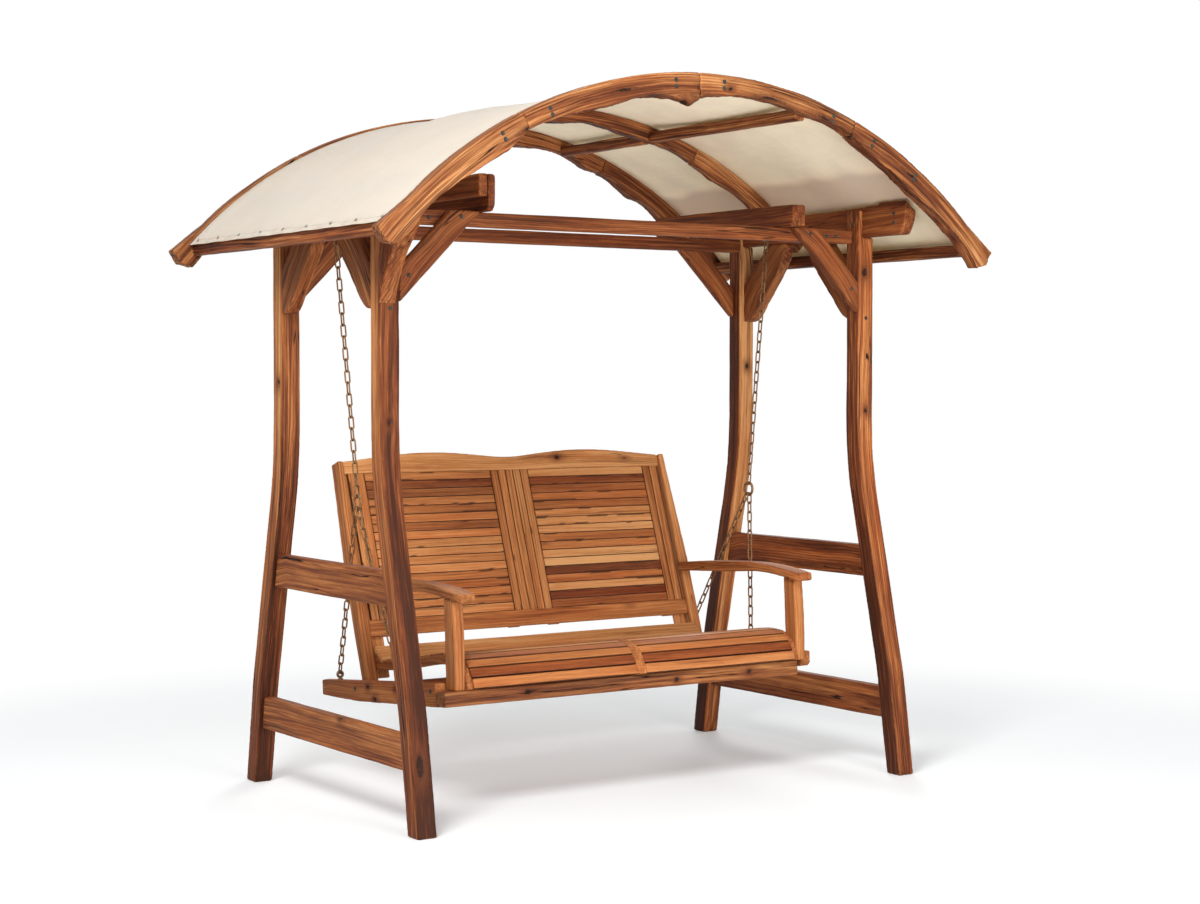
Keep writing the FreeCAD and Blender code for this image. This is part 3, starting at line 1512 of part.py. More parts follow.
for side_name, side in LEFT_RIGHT:
    make_chains(side_name, side)
    make_sled(side_name, side)
    make_back_post(side_name, side)
    make_arm(side_name, side)
make_arm_posts()
make_rings()
make_seat_eyes()
make_front_bearer()
make_rear_bearer()
make_contour_boards()
make_divider()
make_seat_slats()
make_crest_rail()
make_lower_back_rail()
make_back_slats()
make_back_strips()
make_back_stiles()
make_bench_bolts()
doc.recompute()

# Every object is sound before anything is written

for item in doc.Objects:
    if "Invalid" in item.State or "Error" in item.State:
        raise ValueError(f"{item.Label} failed: {item.State}")
for piece in pieces:
    if piece.Shape.isNull() or not piece.Shape.isValid() or not piece.Shape.Solids:
        raise ValueError(f"{piece.Label} has no sound shape")

os.makedirs("parts", exist_ok=True)
for piece in pieces:
    piece.Shape.exportStep(f"parts/{piece.Label}.step")
print(len(pieces), "pieces,", sum(len(piece.Shape.Solids) for piece in pieces), "solids")
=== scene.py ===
import json
from collections import namedtuple
from itertools import product
from math import asin, cos, pi, radians, sin

import bmesh
import bpy
import numpy as np
from mathutils import Euler, Matrix, Vector

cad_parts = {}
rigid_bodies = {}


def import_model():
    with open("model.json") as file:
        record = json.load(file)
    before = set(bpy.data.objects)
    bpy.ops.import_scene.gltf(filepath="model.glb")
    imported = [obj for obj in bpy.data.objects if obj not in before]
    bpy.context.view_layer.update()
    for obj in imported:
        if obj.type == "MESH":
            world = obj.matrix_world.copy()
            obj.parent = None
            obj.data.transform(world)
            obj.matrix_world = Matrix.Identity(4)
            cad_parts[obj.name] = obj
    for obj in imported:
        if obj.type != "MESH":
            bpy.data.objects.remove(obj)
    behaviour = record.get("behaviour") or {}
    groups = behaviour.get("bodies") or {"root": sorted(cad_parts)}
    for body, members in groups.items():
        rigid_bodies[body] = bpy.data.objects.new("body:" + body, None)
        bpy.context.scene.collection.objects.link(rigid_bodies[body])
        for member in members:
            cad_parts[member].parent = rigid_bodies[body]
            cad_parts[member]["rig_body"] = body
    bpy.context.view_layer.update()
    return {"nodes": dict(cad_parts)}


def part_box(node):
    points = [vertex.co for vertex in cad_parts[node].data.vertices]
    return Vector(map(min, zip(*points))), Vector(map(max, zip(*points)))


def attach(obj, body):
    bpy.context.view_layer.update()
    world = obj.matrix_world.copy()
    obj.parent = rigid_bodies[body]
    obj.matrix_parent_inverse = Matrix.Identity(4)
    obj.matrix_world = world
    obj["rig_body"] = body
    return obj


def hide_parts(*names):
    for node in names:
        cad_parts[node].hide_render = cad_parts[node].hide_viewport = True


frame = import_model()

# Lengths are in metres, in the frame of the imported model. Named angles are in degrees.

COARSENESS = 1

# Noise

LATTICE_SIZE = 48
LATTICE = np.random.default_rng(11).random((LATTICE_SIZE,) * 3)
LAYER_FINENESS = 2.1
LAYER_SHIFT = 17.3
SEED_SPREAD = 40


def smooth_noise(points):
    """Smooth noise from -1 to 1 at points measured in lattice cells."""
    cell = np.floor(points).astype(int)
    share = points - cell
    share = share * share * (3 - 2 * share)
    total = np.zeros(len(points))
    for corner in product((0, 1), repeat=3):
        weight = np.prod(np.where(corner, share, 1 - share), axis=1)
        place = (cell + corner) % LATTICE_SIZE
        total += weight * LATTICE[place[:, 0], place[:, 1], place[:, 2]]
    return 2 * total - 1


def layered_noise(points, wavelengths, layers):
    """Noise with finer and weaker layers on top. Each axis has a wavelength of its own."""
    cells = points / np.array(wavelengths)
    total = np.zeros(len(points))
    strength = 1.0
    for _ in range(layers):
        total += strength * smooth_noise(cells)
        cells = cells * LAYER_FINENESS + LAYER_SHIFT
        strength /= 2
    return total


def hump(distance, reach):
    """A bell-shaped share: 1 at no distance, fading over the reach."""
    return np.exp(-((distance / reach) ** 2))


# Shader nodes

class Nodes:
    """Short ways to add and link the nodes of one tree."""

    def __init__(self, tree):
        tree.nodes.clear()
        self.tree = tree

    def give(self, node, inputs):
        """Links or sets each named input."""
        for name, given in inputs.items():
            socket = node.inputs[name]
            if isinstance(given, bpy.types.NodeSocket):
                self.tree.links.new(given, socket)
            elif socket.type == "RGBA":
                socket.default_value = (*given, 1)
            else:
                socket.default_value = given

    def add(self, kind, inputs=None, **settings):
        node = self.tree.nodes.new(kind)
        for name, setting in settings.items():
            setattr(node, name, setting)
        self.give(node, inputs or {})
        return node

    def maths(self, operation, *terms, clamp=False):
        inputs = dict(enumerate(terms))
        return self.add("ShaderNodeMath", inputs, operation=operation, use_clamp=clamp).outputs[0]

    def vector_maths(self, operation, first, second):
        return self.add("ShaderNodeVectorMath", {0: first, 1: second}, operation=operation).outputs[0]

    def times(self, first, second):
        return self.maths("MULTIPLY", first, second)

    def plus_scaled(self, base, given, factor, clamp=False):
        """The base plus a factor times what is given."""
        return self.maths("MULTIPLY_ADD", given, factor, base, clamp=clamp)

    def centred(self, given):
        return self.maths("SUBTRACT", given, 0.5)

    def between(self, given, low, high, new_low=0.0, new_high=1.0):
        """Smooth step from new_low, where given is at low, to new_high."""
        inputs = {"Value": given, "From Min": low, "From Max": high, "To Min": new_low, "To Max": new_high}
        return self.add("ShaderNodeMapRange", inputs, interpolation_type="SMOOTHSTEP").outputs[0]

    def mix(self, share, first, second, blend="MIX"):
        inputs = {0: share, 6: first, 7: second}
        return self.add("ShaderNodeMix", inputs, data_type="RGBA", blend_type=blend).outputs[2]

    def attribute(self, name, output="Fac"):
        return self.add("ShaderNodeAttribute", attribute_name=name).outputs[output]

    def noise(self, vector, stretch, detail, roughness, output=0):
        inputs = {"Vector": self.vector_maths("MULTIPLY", vector, stretch), "Scale": 1.0,
                  "Detail": detail, "Roughness": roughness}
        return self.add("ShaderNodeTexNoise", inputs).outputs[output]

    def ramp(self, given, stops):
        node = self.add("ShaderNodeValToRGB", {0: given})
        elements = node.color_ramp.elements
        while len(elements) < len(stops):
            elements.new(1)
        for element, (position, colour) in zip(elements, stops):
            element.position = position
            element.color = (*colour, 1)
        return node.outputs[0]

    def bump(self, height, strength, distance):
        inputs = {"Height": height, "Strength": strength, "Distance": distance}
        return self.add("ShaderNodeBump", inputs).outputs[0]

    def seen_rays(self):
        """The light path node, and whether a ray comes from the camera or off a glossy surface."""
        path = self.add("ShaderNodeLightPath")
        return path, self.maths("MAXIMUM", path.outputs["Is Camera Ray"], path.outputs["Is Glossy Ray"])


def new_material(name):
    material = bpy.data.materials.new(name)
    material.use_nodes = True
    nodes = Nodes(material.node_tree)
    shader = nodes.add("ShaderNodeBsdfPrincipled")
    nodes.add("ShaderNodeOutputMaterial", {0: shader.outputs[0]})
    return material, nodes, shader


# Wood

DARK_HEART = (0.046, 0.014, 0.006)
RED_BROWN = (0.142, 0.039, 0.013)
MID_BROWN = (0.272, 0.092, 0.029)
HONEY = (0.445, 0.180, 0.059)
STRAW = (0.625, 0.318, 0.128)
KNOT_CORE = (0.020, 0.008, 0.005)
CHECK_DARK = (0.016, 0.007, 0.004)
RED_TINT = (1.0, 0.62, 0.44)
GREY_TINT = (0.80, 0.88, 0.98)
PORE_TINT = (0.30, 0.22, 0.18)
WOOD_STOPS = ((0.02, DARK_HEART), (0.30, RED_BROWN), (0.52, MID_BROWN), (0.74, HONEY), (1.0, STRAW))

RING_PITCH = 0.0072
RING_WOBBLE = 5.0
RING_SHARPNESS = 1.7
PITH_ACROSS = 0.006
PITH_THROUGH = 0.045
GRAIN_DRIFT = 0.030

# Noises of the wood: cells per metre along, across and through the board, detail and roughness
WOOD_NOISES = {
    "wander": ((1.6, 9, 9), 3, 0.55),
    "wobble": ((3, 40, 40), 2, 0.5),
    "slow": ((1.3, 7, 7), 2, 0.5),
    "broad": ((0.9, 30, 30), 4, 0.6),
    "streaks": ((2.6, 120, 120), 4, 0.65),
    "fibres": ((14, 620, 620), 2, 0.7),
    "pores": ((50, 1500, 1500), 1, 0.5),
    "patches": ((1.7, 18, 18), 3, 0.5),
    "bleaching": ((3.0, 24, 24), 4, 0.6),
    "veins": ((1.1, 66, 66), 3, 0.6),
    "ragged": ((45, 110, 110), 4, 0.65),
    "check_lines": ((0.9, 44, 44), 1, 0.5),
    "check_places": ((1.5, 17, 17), 1, 0.5),
    "rubbing_and_highlight": ((14, 70, 70), 3, 0.5),
}
# How much each noise changes the tone, and how high or deep each feature is in the bump
TONE_STRENGTHS = {"slow": 0.55, "broad": 0.85, "streaks": 1.15, "bands": 0.13, "fibres": 0.46}
RELIEF = {"bands": 0.10, "streaks": 0.60, "fibres": 0.35, "pores": -0.40,
          "check": -2.4, "pin": -0.8, "core": -1.6}

# The two values between which each feature comes or goes, and for some also its shares at them
PATCH = (0.48, 0.70, 0.0, 0.34)
RED_STRENGTH = 0.62
RED_LIMIT = 0.8
BLEACH_LIMITS = (0.35, 0.62)
BLEACH_FLOOR = 0.2
VEIN_LIMITS = (0.585, 0.70)
VEIN_STRENGTH = 0.66
PORE = (0.60, 0.76, 0.0, 0.36)
CHECK_LINE = (0.002, 0.012, 1.0, 0.0)
CHECK_LIMITS = (0.53, 0.62)
CHECK_STRENGTH = 0.9
PIN_CELLS = (5, 13, 13)
PIN_LOT_EDGE = 0.9
PIN_EYE = (0.025, 0.075, 0.9, 0.0)
PIN_HALO = (0.05, 0.24, 0.55, 0.0)
KNOT_RAGGEDNESS = 0.013
KNOT_RING_TURNS = 1300.0
KNOT_HALO = (0.002, 0.030, 0.66, 0.0)
KNOT_RINGS = (0.002, 0.014, 0.6, 0.0)
KNOT_EYE = (0.0005, 0.0050, 0.96, 0.0)
ARRIS_WEAR_AND_HIGHLIGHT = (0.10, 0.75)
RUB_AND_HIGHLIGHT_PATCHES = (0.40, 0.66)
RUB_AND_HIGHLIGHT_STRENGTH = 0.34
DIRT_AND_PAINTED_SHADE = (-0.12, -0.70, 0.0, 0.80)
STREAK_ROUGHENING = 0.30
CHECK_ROUGHENING = 0.3
RUB_POLISH = -0.06
WOOD_SHINE = 0.14
WOOD_BUMP = (0.60, 0.0012)


def wood_noise(nodes, vector, name, output=0):
    return nodes.noise(vector, *WOOD_NOISES[name], output)


def drifted(nodes, grain):
    """Grain coordinates that wander a little across the board."""
    wander = nodes.vector_maths("SUBTRACT", wood_noise(nodes, grain, "wander", output=1), (0.5, 0.5, 0.5))
    drift = nodes.vector_maths("MULTIPLY", wander, (0.0, GRAIN_DRIFT, GRAIN_DRIFT))
    return nodes.vector_maths("ADD", grain, drift)


def ring_bands(nodes, bent):
    """Growth rings round a pith beside the board."""
    split = nodes.add("ShaderNodeSeparateXYZ", {0: bent})
    across = nodes.maths("ADD", split.outputs[1], PITH_ACROSS)
    through = nodes.maths("ADD", split.outputs[2], PITH_THROUGH)
    squares = nodes.maths("ADD", nodes.maths("POWER", across, 2.0), nodes.maths("POWER", through, 2.0))
    turns = nodes.times(nodes.maths("SQRT", squares), 2 * pi / RING_PITCH)
    phase = nodes.plus_scaled(turns, wood_noise(nodes, bent, "wobble"), RING_WOBBLE)
    return nodes.maths("POWER", nodes.plus_scaled(0.5, nodes.maths("SINE", phase), 0.5), RING_SHARPNESS)


def add_pin_knots(nodes, colour, bent, pins):
    """Small dark eyes in a few cells only. Returns the new colour and the eyes' share."""
    spaced = nodes.vector_maths("MULTIPLY", bent, PIN_CELLS)
    cells = nodes.add("ShaderNodeTexVoronoi", {"Vector": spaced, "Scale": 1.0})
    lot = nodes.add("ShaderNodeSeparateColor", {0: cells.outputs["Color"]}).outputs[0]
    chosen = nodes.between(lot, pins, pins * PIN_LOT_EDGE)
    distance = cells.outputs["Distance"]
    eye = nodes.times(chosen, nodes.between(distance, *PIN_EYE))
    halo = nodes.times(chosen, nodes.between(distance, *PIN_HALO))
    colour = nodes.mix(halo, colour, RED_BROWN)
    return nodes.mix(eye, colour, KNOT_CORE), eye


def add_large_knots(nodes, colour, grain):
    """Ragged rings that darken towards a knot's core. Returns the new colour and the core's share."""
    ragged = nodes.centred(wood_noise(nodes, grain, "ragged"))
    rim = nodes.plus_scaled(nodes.attribute("knot"), ragged, KNOT_RAGGEDNESS)
    colour = nodes.mix(nodes.between(rim, *KNOT_HALO), colour, RED_BROWN)
    rings = nodes.plus_scaled(0.5, nodes.maths("SINE", nodes.times(rim, KNOT_RING_TURNS)), 0.5)
    colour = nodes.mix(nodes.times(rings, nodes.between(rim, *KNOT_RINGS)), colour, DARK_HEART)
    core = nodes.between(rim, *KNOT_EYE)
    return nodes.mix(core, colour, KNOT_CORE), core


def wood_material(name, contrast=1.0, streak=1.0, gloss=0.46, checks=1.0, grey=0.0, pins=0.08):
    """Oiled hardwood that reads each board's own grain coordinates, tone, redness, knots and edges."""
    material, nodes, shader = new_material(name)
    grain = nodes.attribute("grain", "Vector")
    edge = nodes.attribute("edge")
    bent = drifted(nodes, grain)
    bands = ring_bands(nodes, bent)
    streaks = wood_noise(nodes, bent, "streaks")
    fibres = wood_noise(nodes, grain, "fibres")

    # Tone: slow drifts, broad and narrow streaks, rings and fibres
    level = nodes.attribute("tone")
    for given, middle, part, share in (
        (wood_noise(nodes, grain, "slow"), 0.5, "slow", contrast),
        (wood_noise(nodes, bent, "broad"), 0.5, "broad", contrast),
        (streaks, 0.5, "streaks", contrast * streak),
        (bands, 0.4, "bands", contrast),
        (fibres, 0.5, "fibres", 1),
    ):
        level = nodes.plus_scaled(level, nodes.maths("SUBTRACT", given, middle), TONE_STRENGTHS[part] * share)
    colour = nodes.ramp(level, WOOD_STOPS)

    # Red patches, weathered grey, dark mineral veins and pores
    patches = nodes.between(wood_noise(nodes, bent, "patches"), *PATCH)
    red_share = nodes.plus_scaled(patches, nodes.attribute("red"), RED_STRENGTH)
    colour = nodes.mix(nodes.maths("MINIMUM", red_share, RED_LIMIT), colour, RED_TINT, "MULTIPLY")
    if grey:
        bleaching = wood_noise(nodes, grain, "bleaching")
        bleached = nodes.between(bleaching, *BLEACH_LIMITS, BLEACH_FLOOR * grey, grey)
        colour = nodes.mix(bleached, colour, GREY_TINT, "MULTIPLY")
    veins = nodes.between(wood_noise(nodes, bent, "veins"), *VEIN_LIMITS, 0.0, VEIN_STRENGTH * streak)
    colour = nodes.mix(veins, colour, DARK_HEART)
    pores = nodes.between(wood_noise(nodes, grain, "pores"), *PORE)
    colour = nodes.mix(pores, colour, PORE_TINT, "MULTIPLY")

    colour, pin = add_pin_knots(nodes, colour, bent, pins)
    colour, core = add_large_knots(nodes, colour, grain)

    # Drying checks: hair lines that follow the grain
    line = nodes.maths("ABSOLUTE", nodes.centred(wood_noise(nodes, bent, "check_lines")))
    check_places = wood_noise(nodes, grain, "check_places")
    present = nodes.between(check_places, *CHECK_LIMITS, 0.0, CHECK_STRENGTH * checks)
    check = nodes.times(nodes.between(line, *CHECK_LINE), present)
    colour = nodes.mix(check, colour, CHECK_DARK)

    # Arris wear with a painted highlight, and dirt with painted shade in the hollows and between close boards
    # Wear with a painted highlight: rubbed arrises and board ends turn lighter
    rubbed_and_highlit = nodes.between(wood_noise(nodes, grain, "rubbing_and_highlight"), *RUB_AND_HIGHLIGHT_PATCHES)
    worn_and_highlit = nodes.times(nodes.between(edge, *ARRIS_WEAR_AND_HIGHLIGHT), rubbed_and_highlit)
    colour = nodes.mix(nodes.times(worn_and_highlit, RUB_AND_HIGHLIGHT_STRENGTH), colour, HONEY)
    # Dirt and painted shade: hollows and the narrow sides between close boards turn dark
    colour = nodes.mix(nodes.between(edge, *DIRT_AND_PAINTED_SHADE), colour, DARK_HEART)

    rough = nodes.plus_scaled(gloss, streaks, STREAK_ROUGHENING)
    rough = nodes.plus_scaled(rough, check, CHECK_ROUGHENING)
    rough = nodes.plus_scaled(rough, worn_and_highlit, RUB_POLISH, clamp=True)
    height = nodes.times(bands, RELIEF["bands"])
    parts = {"streaks": streaks, "fibres": fibres, "pores": pores, "check": check, "pin": pin, "core": core}
    for part, given in parts.items():
        height = nodes.plus_scaled(height, given, RELIEF[part])
    nodes.give(shader, {"Base Color": colour, "Roughness": rough, "Specular IOR Level": WOOD_SHINE,
                        "Normal": nodes.bump(height, *WOOD_BUMP)})
    return material


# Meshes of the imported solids

WELD = 1e-5
SOFTENING = 0.5
BEND_SCALE = 4


def new_object(name, data):
    made = bpy.data.objects.new(name, data)
    bpy.context.scene.collection.objects.link(made)
    return made


def solids_of(node):
    """Each solid of a node as a welded mesh of its own: corner places and triangles."""
    welded = bmesh.new()
    welded.from_mesh(frame["nodes"][node].data)
    bmesh.ops.remove_doubles(welded, verts=welded.verts, dist=WELD)
    welded.verts.ensure_lookup_table()
    seen = set()
    solids = []
    for start in welded.verts:
        if start.index in seen:
            continue
        seen.add(start.index)
        found = [start]
        for vertex in found:
            for link in vertex.link_edges:
                other = link.other_vert(vertex)
                if other.index not in seen:
                    seen.add(other.index)
                    found.append(other)
        order = {vertex.index: number for number, vertex in enumerate(found)}
        faces = {face for vertex in found for face in vertex.link_faces}
        ordered = sorted(faces, key=lambda face: face.index)
        triangles = [[order[vertex.index] for vertex in face.verts] for face in ordered]
        solids.append((np.array([vertex.co[:] for vertex in found]), triangles))
    welded.free()
    return solids


def remeshed(points, triangles, voxel):
    """The solid as an even skin of small squares with slightly softened arrises."""
    mesh = bpy.data.meshes.new("rough")
    mesh.from_pydata(points.tolist(), [], triangles)
    solid = new_object("rough", mesh)
    remesh = solid.modifiers.new("skin", "REMESH")
    remesh.mode = "VOXEL"
    remesh.voxel_size = voxel * COARSENESS
    soften = solid.modifiers.new("soften", "SMOOTH")
    soften.factor = SOFTENING
    soften.iterations = 1
    depsgraph = bpy.context.evaluated_depsgraph_get()
    result = bpy.data.meshes.new_from_object(solid.evaluated_get(depsgraph))
    bpy.data.objects.remove(solid)
    bpy.data.meshes.remove(mesh)
    return result


def mesh_vectors(items, field):
    """One vector for each item of a mesh, such as the place of each vertex."""
    values = np.zeros(len(items) * 3)
    items.foreach_get(field, values)
    return values.reshape(-1, 3)


def bend_of_surface(mesh, places, normals):
    """How convex the skin is at each point: positive on arrises, negative in hollows."""
    edges = np.zeros(len(mesh.edges) * 2, int)
    mesh.edges.foreach_get("vertices", edges)
    edges = edges.reshape(-1, 2)
    total = np.zeros_like(places)
    neighbours = np.zeros(len(places))
    for near, far in ((0, 1), (1, 0)):
        np.add.at(total, edges[:, near], places[edges[:, far]])
        np.add.at(neighbours, edges[:, near], 1)
    middle = total / np.maximum(neighbours, 1)[:, None]
    length = np.linalg.norm(places[edges[:, 0]] - places[edges[:, 1]], axis=1).mean()
    return np.einsum("ij,ij->i", places - middle, normals) / length * BEND_SCALE


def write_attributes(mesh, **fields):
    for name, values in fields.items():
        is_vector = values.ndim == 2
        layer = mesh.attributes.new(name, "FLOAT_VECTOR" if is_vector else "FLOAT", "POINT")
        layer.data.foreach_set("vector" if is_vector else "value", values.astype(np.float32).ravel())


def joined(name, meshes, material, node):
    """One object from several meshes, riding where its node rides."""
    whole = bmesh.new()
    for mesh in meshes:
        whole.from_mesh(mesh)
        bpy.data.meshes.remove(mesh)
    result = bpy.data.meshes.new(name)
    whole.to_mesh(result)
    whole.free()
    result.shade_smooth()
    result.materials.append(material)
    piece = new_object(name, result)
    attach(piece, frame["nodes"][node]["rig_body"])
    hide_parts(node)


# Sawn and live-edged timbers

ARCH_APEX = 2.212
ARCH_RADIUS = 1.486
ARCH_CENTRE = Vector((0, 0, ARCH_APEX - ARCH_RADIUS))
CENTRE_LINE_STEP = 0.03
CENTRE_LINE_KERNEL = 5
FAR_FROM_KNOT = 0.3
KNOT_SQUEEZE = 0.8
KNOT_SQUEEZE_REACH = 2.4
TONE_SPREAD = 0.03
RED_SPREAD = (0.6, 1.4)
FOOT_SHADE = 0.38
FOOT_SHADE_TOP = 1.25
EDGE_BIAS = 0.15
NO_TURN = ("X", 0.0)

# Wavelengths along, across and through the board
ROUGH_WAVES = (0.22, 0.035, 0.035)
RIPPLE_WAVES = (0.05, 0.012, 0.012)
BITE_WAVES = (0.07, 0.02, 0.02)
GNARL_WAVES = (0.10, 0.04, 0.05)
RIPPLE_SHARE = 0.3
BITE_START = 0.35
ARRIS_WEAR = 0.5
KNOT_DIP = 0.0022
KNOT_DIP_REACH = 0.004
KNOT_LIP = 0.0010
KNOT_LIP_PLACE = 0.012
KNOT_LIP_REACH = 0.007
UNDERSIDE_START = 0.2
GNARL_SHARE = 0.9
ARCH_UNDER_SHADE = 0.22
BURL_REACH = 0.07
BURL_DEPTH = 0.020
BURL_FLOOR = 0.6
# How sharply the painted light and shade turn onto the side of a timber that faces the given way
PAINTED_FACE_SHARPNESS = 1.6
PAINTED_FACE_START = 0.3


def centre_line(along, side):
    """Mean place across the board at each place along it, so that the grain can follow a bend."""
    stations = np.floor((along - along.min()) / CENTRE_LINE_STEP).astype(int)
    totals = np.bincount(stations, side)
    means = totals / np.maximum(np.bincount(stations), 1)
    kernel = np.ones(CENTRE_LINE_KERNEL) / CENTRE_LINE_KERNEL
    padded = np.pad(means, CENTRE_LINE_KERNEL // 2, mode="edge")
    means = np.convolve(padded, kernel, mode="valid")
    middles = along.min() + (np.arange(len(means)) + 0.5) * CENTRE_LINE_STEP
    return np.interp(along, middles, means)


def board_frame(places, arch):
    """Coordinates along, across and through a board. An arched board is unrolled first."""
    if arch:
        x = places[:, 0]
        z = places[:, 2] - ARCH_CENTRE.z
        return np.column_stack([np.arctan2(x, z) * ARCH_RADIUS, np.hypot(x, z) - ARCH_RADIUS, places[:, 1]])
    order = np.argsort(-np.ptp(places, axis=0))
    local = places[:, order]
    for side in (1, 2):
        local[:, side] -= centre_line(local[:, 0], local[:, side])
    return local


def grain_around(local, places, knots):
    """Grain coordinates that part around each knot, and the distance to the nearest knot's rim.
    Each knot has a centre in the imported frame, a radius, and a stretch along the grain."""
    grain = local.copy()
    nearest = np.full(len(local), FAR_FROM_KNOT)
    for centre, radius, stretch in knots:
        start = local[np.argmin(np.linalg.norm(places - np.array(centre), axis=1))]
        run = (local[:, 0] - start[0]) / stretch
        off = local[:, 1] - start[1]
        depth = local[:, 2] - start[2]
        distance = np.sqrt(run ** 2 + off ** 2 + depth ** 2)
        squeeze = KNOT_SQUEEZE * hump(distance, KNOT_SQUEEZE_REACH * radius)
        grain[:, 1] -= off * squeeze
        grain[:, 2] -= depth * squeeze
        nearest = np.minimum(nearest, np.maximum(distance - radius, 0))
    return grain, nearest


def sawn_move(local, seed, convex, knot, cut):
    """How far each point of the skin moves outwards: uneven faces, chipped arrises, knots with a lip."""
    rough = layered_noise(local + seed, ROUGH_WAVES, 3)
    ripple = layered_noise(local + seed * 2, RIPPLE_WAVES, 2)
    bites = np.clip(layered_noise(local + seed * 3, BITE_WAVES, 3) - BITE_START, 0, 1)
    move = cut.uneven * rough + RIPPLE_SHARE * cut.uneven * ripple
    move -= convex * (ARRIS_WEAR * cut.uneven + cut.chip * bites)
    move -= KNOT_DIP * hump(knot, KNOT_DIP_REACH)
    move += KNOT_LIP * hump(knot - KNOT_LIP_PLACE, KNOT_LIP_REACH)
    return move


def gnarled(move, local, seed, under, cut, burl):
    """The move with a gnarled underside. Elsewhere an arch's skin never moves outwards."""
    gnarl = layered_noise(local + seed * 4, GNARL_WAVES, 4)
    move = move + under * cut.chip * GNARL_SHARE * gnarl
    if burl is not None:
        move += under * hump(local[:, 0] - burl, BURL_REACH) * BURL_DEPTH * (BURL_FLOOR + gnarl)
    return np.where(under > 0, move, np.minimum(move, 0))


# How a kind of timber was worked. The slot names one in the imported record and is not used.
Cut = namedtuple("Cut", "voxel material slot uneven chip")


def timber(node, cut, tone, red=0.3, turn=NO_TURN, arch=False, painted_face=None, foot_shade=0, knots=(),
           burl=None):
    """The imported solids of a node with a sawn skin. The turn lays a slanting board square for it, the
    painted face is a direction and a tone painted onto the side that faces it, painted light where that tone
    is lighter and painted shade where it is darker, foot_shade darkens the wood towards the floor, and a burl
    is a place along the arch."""
    chance = np.random.default_rng(sum(map(ord, node)))
    axis, angle = turn
    rotation = np.array(Matrix.Rotation(radians(angle), 3, axis))
    meshes = []
    for points, triangles in solids_of(node):
        mesh = remeshed(points @ rotation.T, triangles, cut.voxel)
        places = mesh_vectors(mesh.vertices, "co")
        normals = mesh_vectors(mesh.vertex_normals, "vector")
        local = board_frame(places, arch)
        seed = chance.uniform(0, SEED_SPREAD, 3)
        edge = bend_of_surface(mesh, places, normals)
        packed_places = places @ rotation
        grain, knot = grain_around(local, packed_places, knots)
        shade = np.full(len(places), tone + chance.uniform(-1, 1) * TONE_SPREAD)
        move = sawn_move(local, seed, np.clip(edge, 0, 1), knot, cut)
        if arch:
            outward = normals[:, 0] * places[:, 0] + normals[:, 2] * (places[:, 2] - ARCH_CENTRE.z)
            under = np.clip(-outward / ARCH_RADIUS - UNDERSIDE_START, 0, 1)
            move = gnarled(move, local, seed, under, cut, burl)
            # Painted shade: the underside of an arch is darker
            shade -= ARCH_UNDER_SHADE * under
        # Painted light and shade: the side facing the given way takes its own tone, lighter or darker than
        # the rest
        if painted_face is not None:
            way, painted_face_tone = painted_face
            painted_face_share = np.clip(PAINTED_FACE_SHARPNESS * (normals @ rotation) @ np.array(way) - PAINTED_FACE_START, 0, 1)
            shade += (painted_face_tone - tone) * painted_face_share
        shade -= foot_shade * np.clip((FOOT_SHADE_TOP - packed_places[:, 2]) / FOOT_SHADE_TOP, 0, 1)
        places = (places + normals * move[:, None]) @ rotation
        places[:, 2] = np.maximum(places[:, 2], 0)
        if arch:
            places[:, 1] = np.clip(places[:, 1], points[:, 1].min(), points[:, 1].max())
        mesh.vertices.foreach_set("co", places.ravel())
        redness = np.full(len(places), red * chance.uniform(*RED_SPREAD))
        write_attributes(mesh, grain=grain + seed, tone=shade, red=redness, knot=knot, edge=edge - EDGE_BIAS)
        meshes.append(mesh)
    joined(f"{node}_timber", meshes, cut.material, node)


# Planed boards, made afresh from the corners of their solids

BOARD_STATION = 0.03
FEWEST_STATIONS = 4
ARC_STEPS = 3
FLAT_STEPS = 3
END_STEP = 0.3
END_STEP_INSET = 0.45
BOW = 0.00035
BOW_WAVE = 0.16
SKIN = 0.0003
SKIN_WAVES = (0.09, 0.012, 0.012)
ARRIS_MARK = 0.5
END_MARK = 0.7
SIDE_DIRT_AND_SHADE_MARK = -1.0
SIDE_DIRT_AND_SHADE_EASE_SHARE = 0.8
BOARD_EASE = 0.0018


def box_axes(corners):
    """Middle, unit axes and half sizes of a box-shaped solid, its longest way first."""
    middle = corners.mean(axis=0)
    _, axes = np.linalg.eigh(np.cov((corners - middle).T))
    axes = axes[:, ::-1].T
    halves = np.abs((corners - middle) @ axes.T).max(axis=0)
    if np.linalg.det(axes) < 0:
        axes[2] *= -1
    return middle, axes, halves


def board_section(half_width, half_thickness, ease):
    """Points round a board's section with eased arrises, and which of them lie on an arris."""
    points = []
    on_arris = []
    for side, up, start in ((1, 1, 0), (-1, 1, 90), (-1, -1, 180), (1, -1, 270)):
        centre = np.array([side * (half_width - ease), up * (half_thickness - ease)])
        for step in range(ARC_STEPS + 1):
            angle = radians(start + 90 * step / ARC_STEPS)
            points.append(centre + ease * np.array([cos(angle), sin(angle)]))
            on_arris.append(1.0)
        if side == up:
            for step in range(1, FLAT_STEPS + 1):
                x = side * (half_width - ease) * (1 - 2 * step / (FLAT_STEPS + 1))
                points.append(np.array([x, up * half_thickness]))
                on_arris.append(0.0)
    return np.array(points), np.array(on_arris)


def board_faces(row_count, around):
    """Faces of a tube of rows, closed at both ends."""
    faces = []
    for row in range(row_count - 1):
        start = row * around
        for place in range(around):
            follower = (place + 1) % around
            faces.append((start + around + place, start + around + follower, start + follower, start + place))
    last = (row_count - 1) * around
    faces.append(tuple(range(around)))
    faces.append(tuple(last + place for place in reversed(range(around))))
    return faces


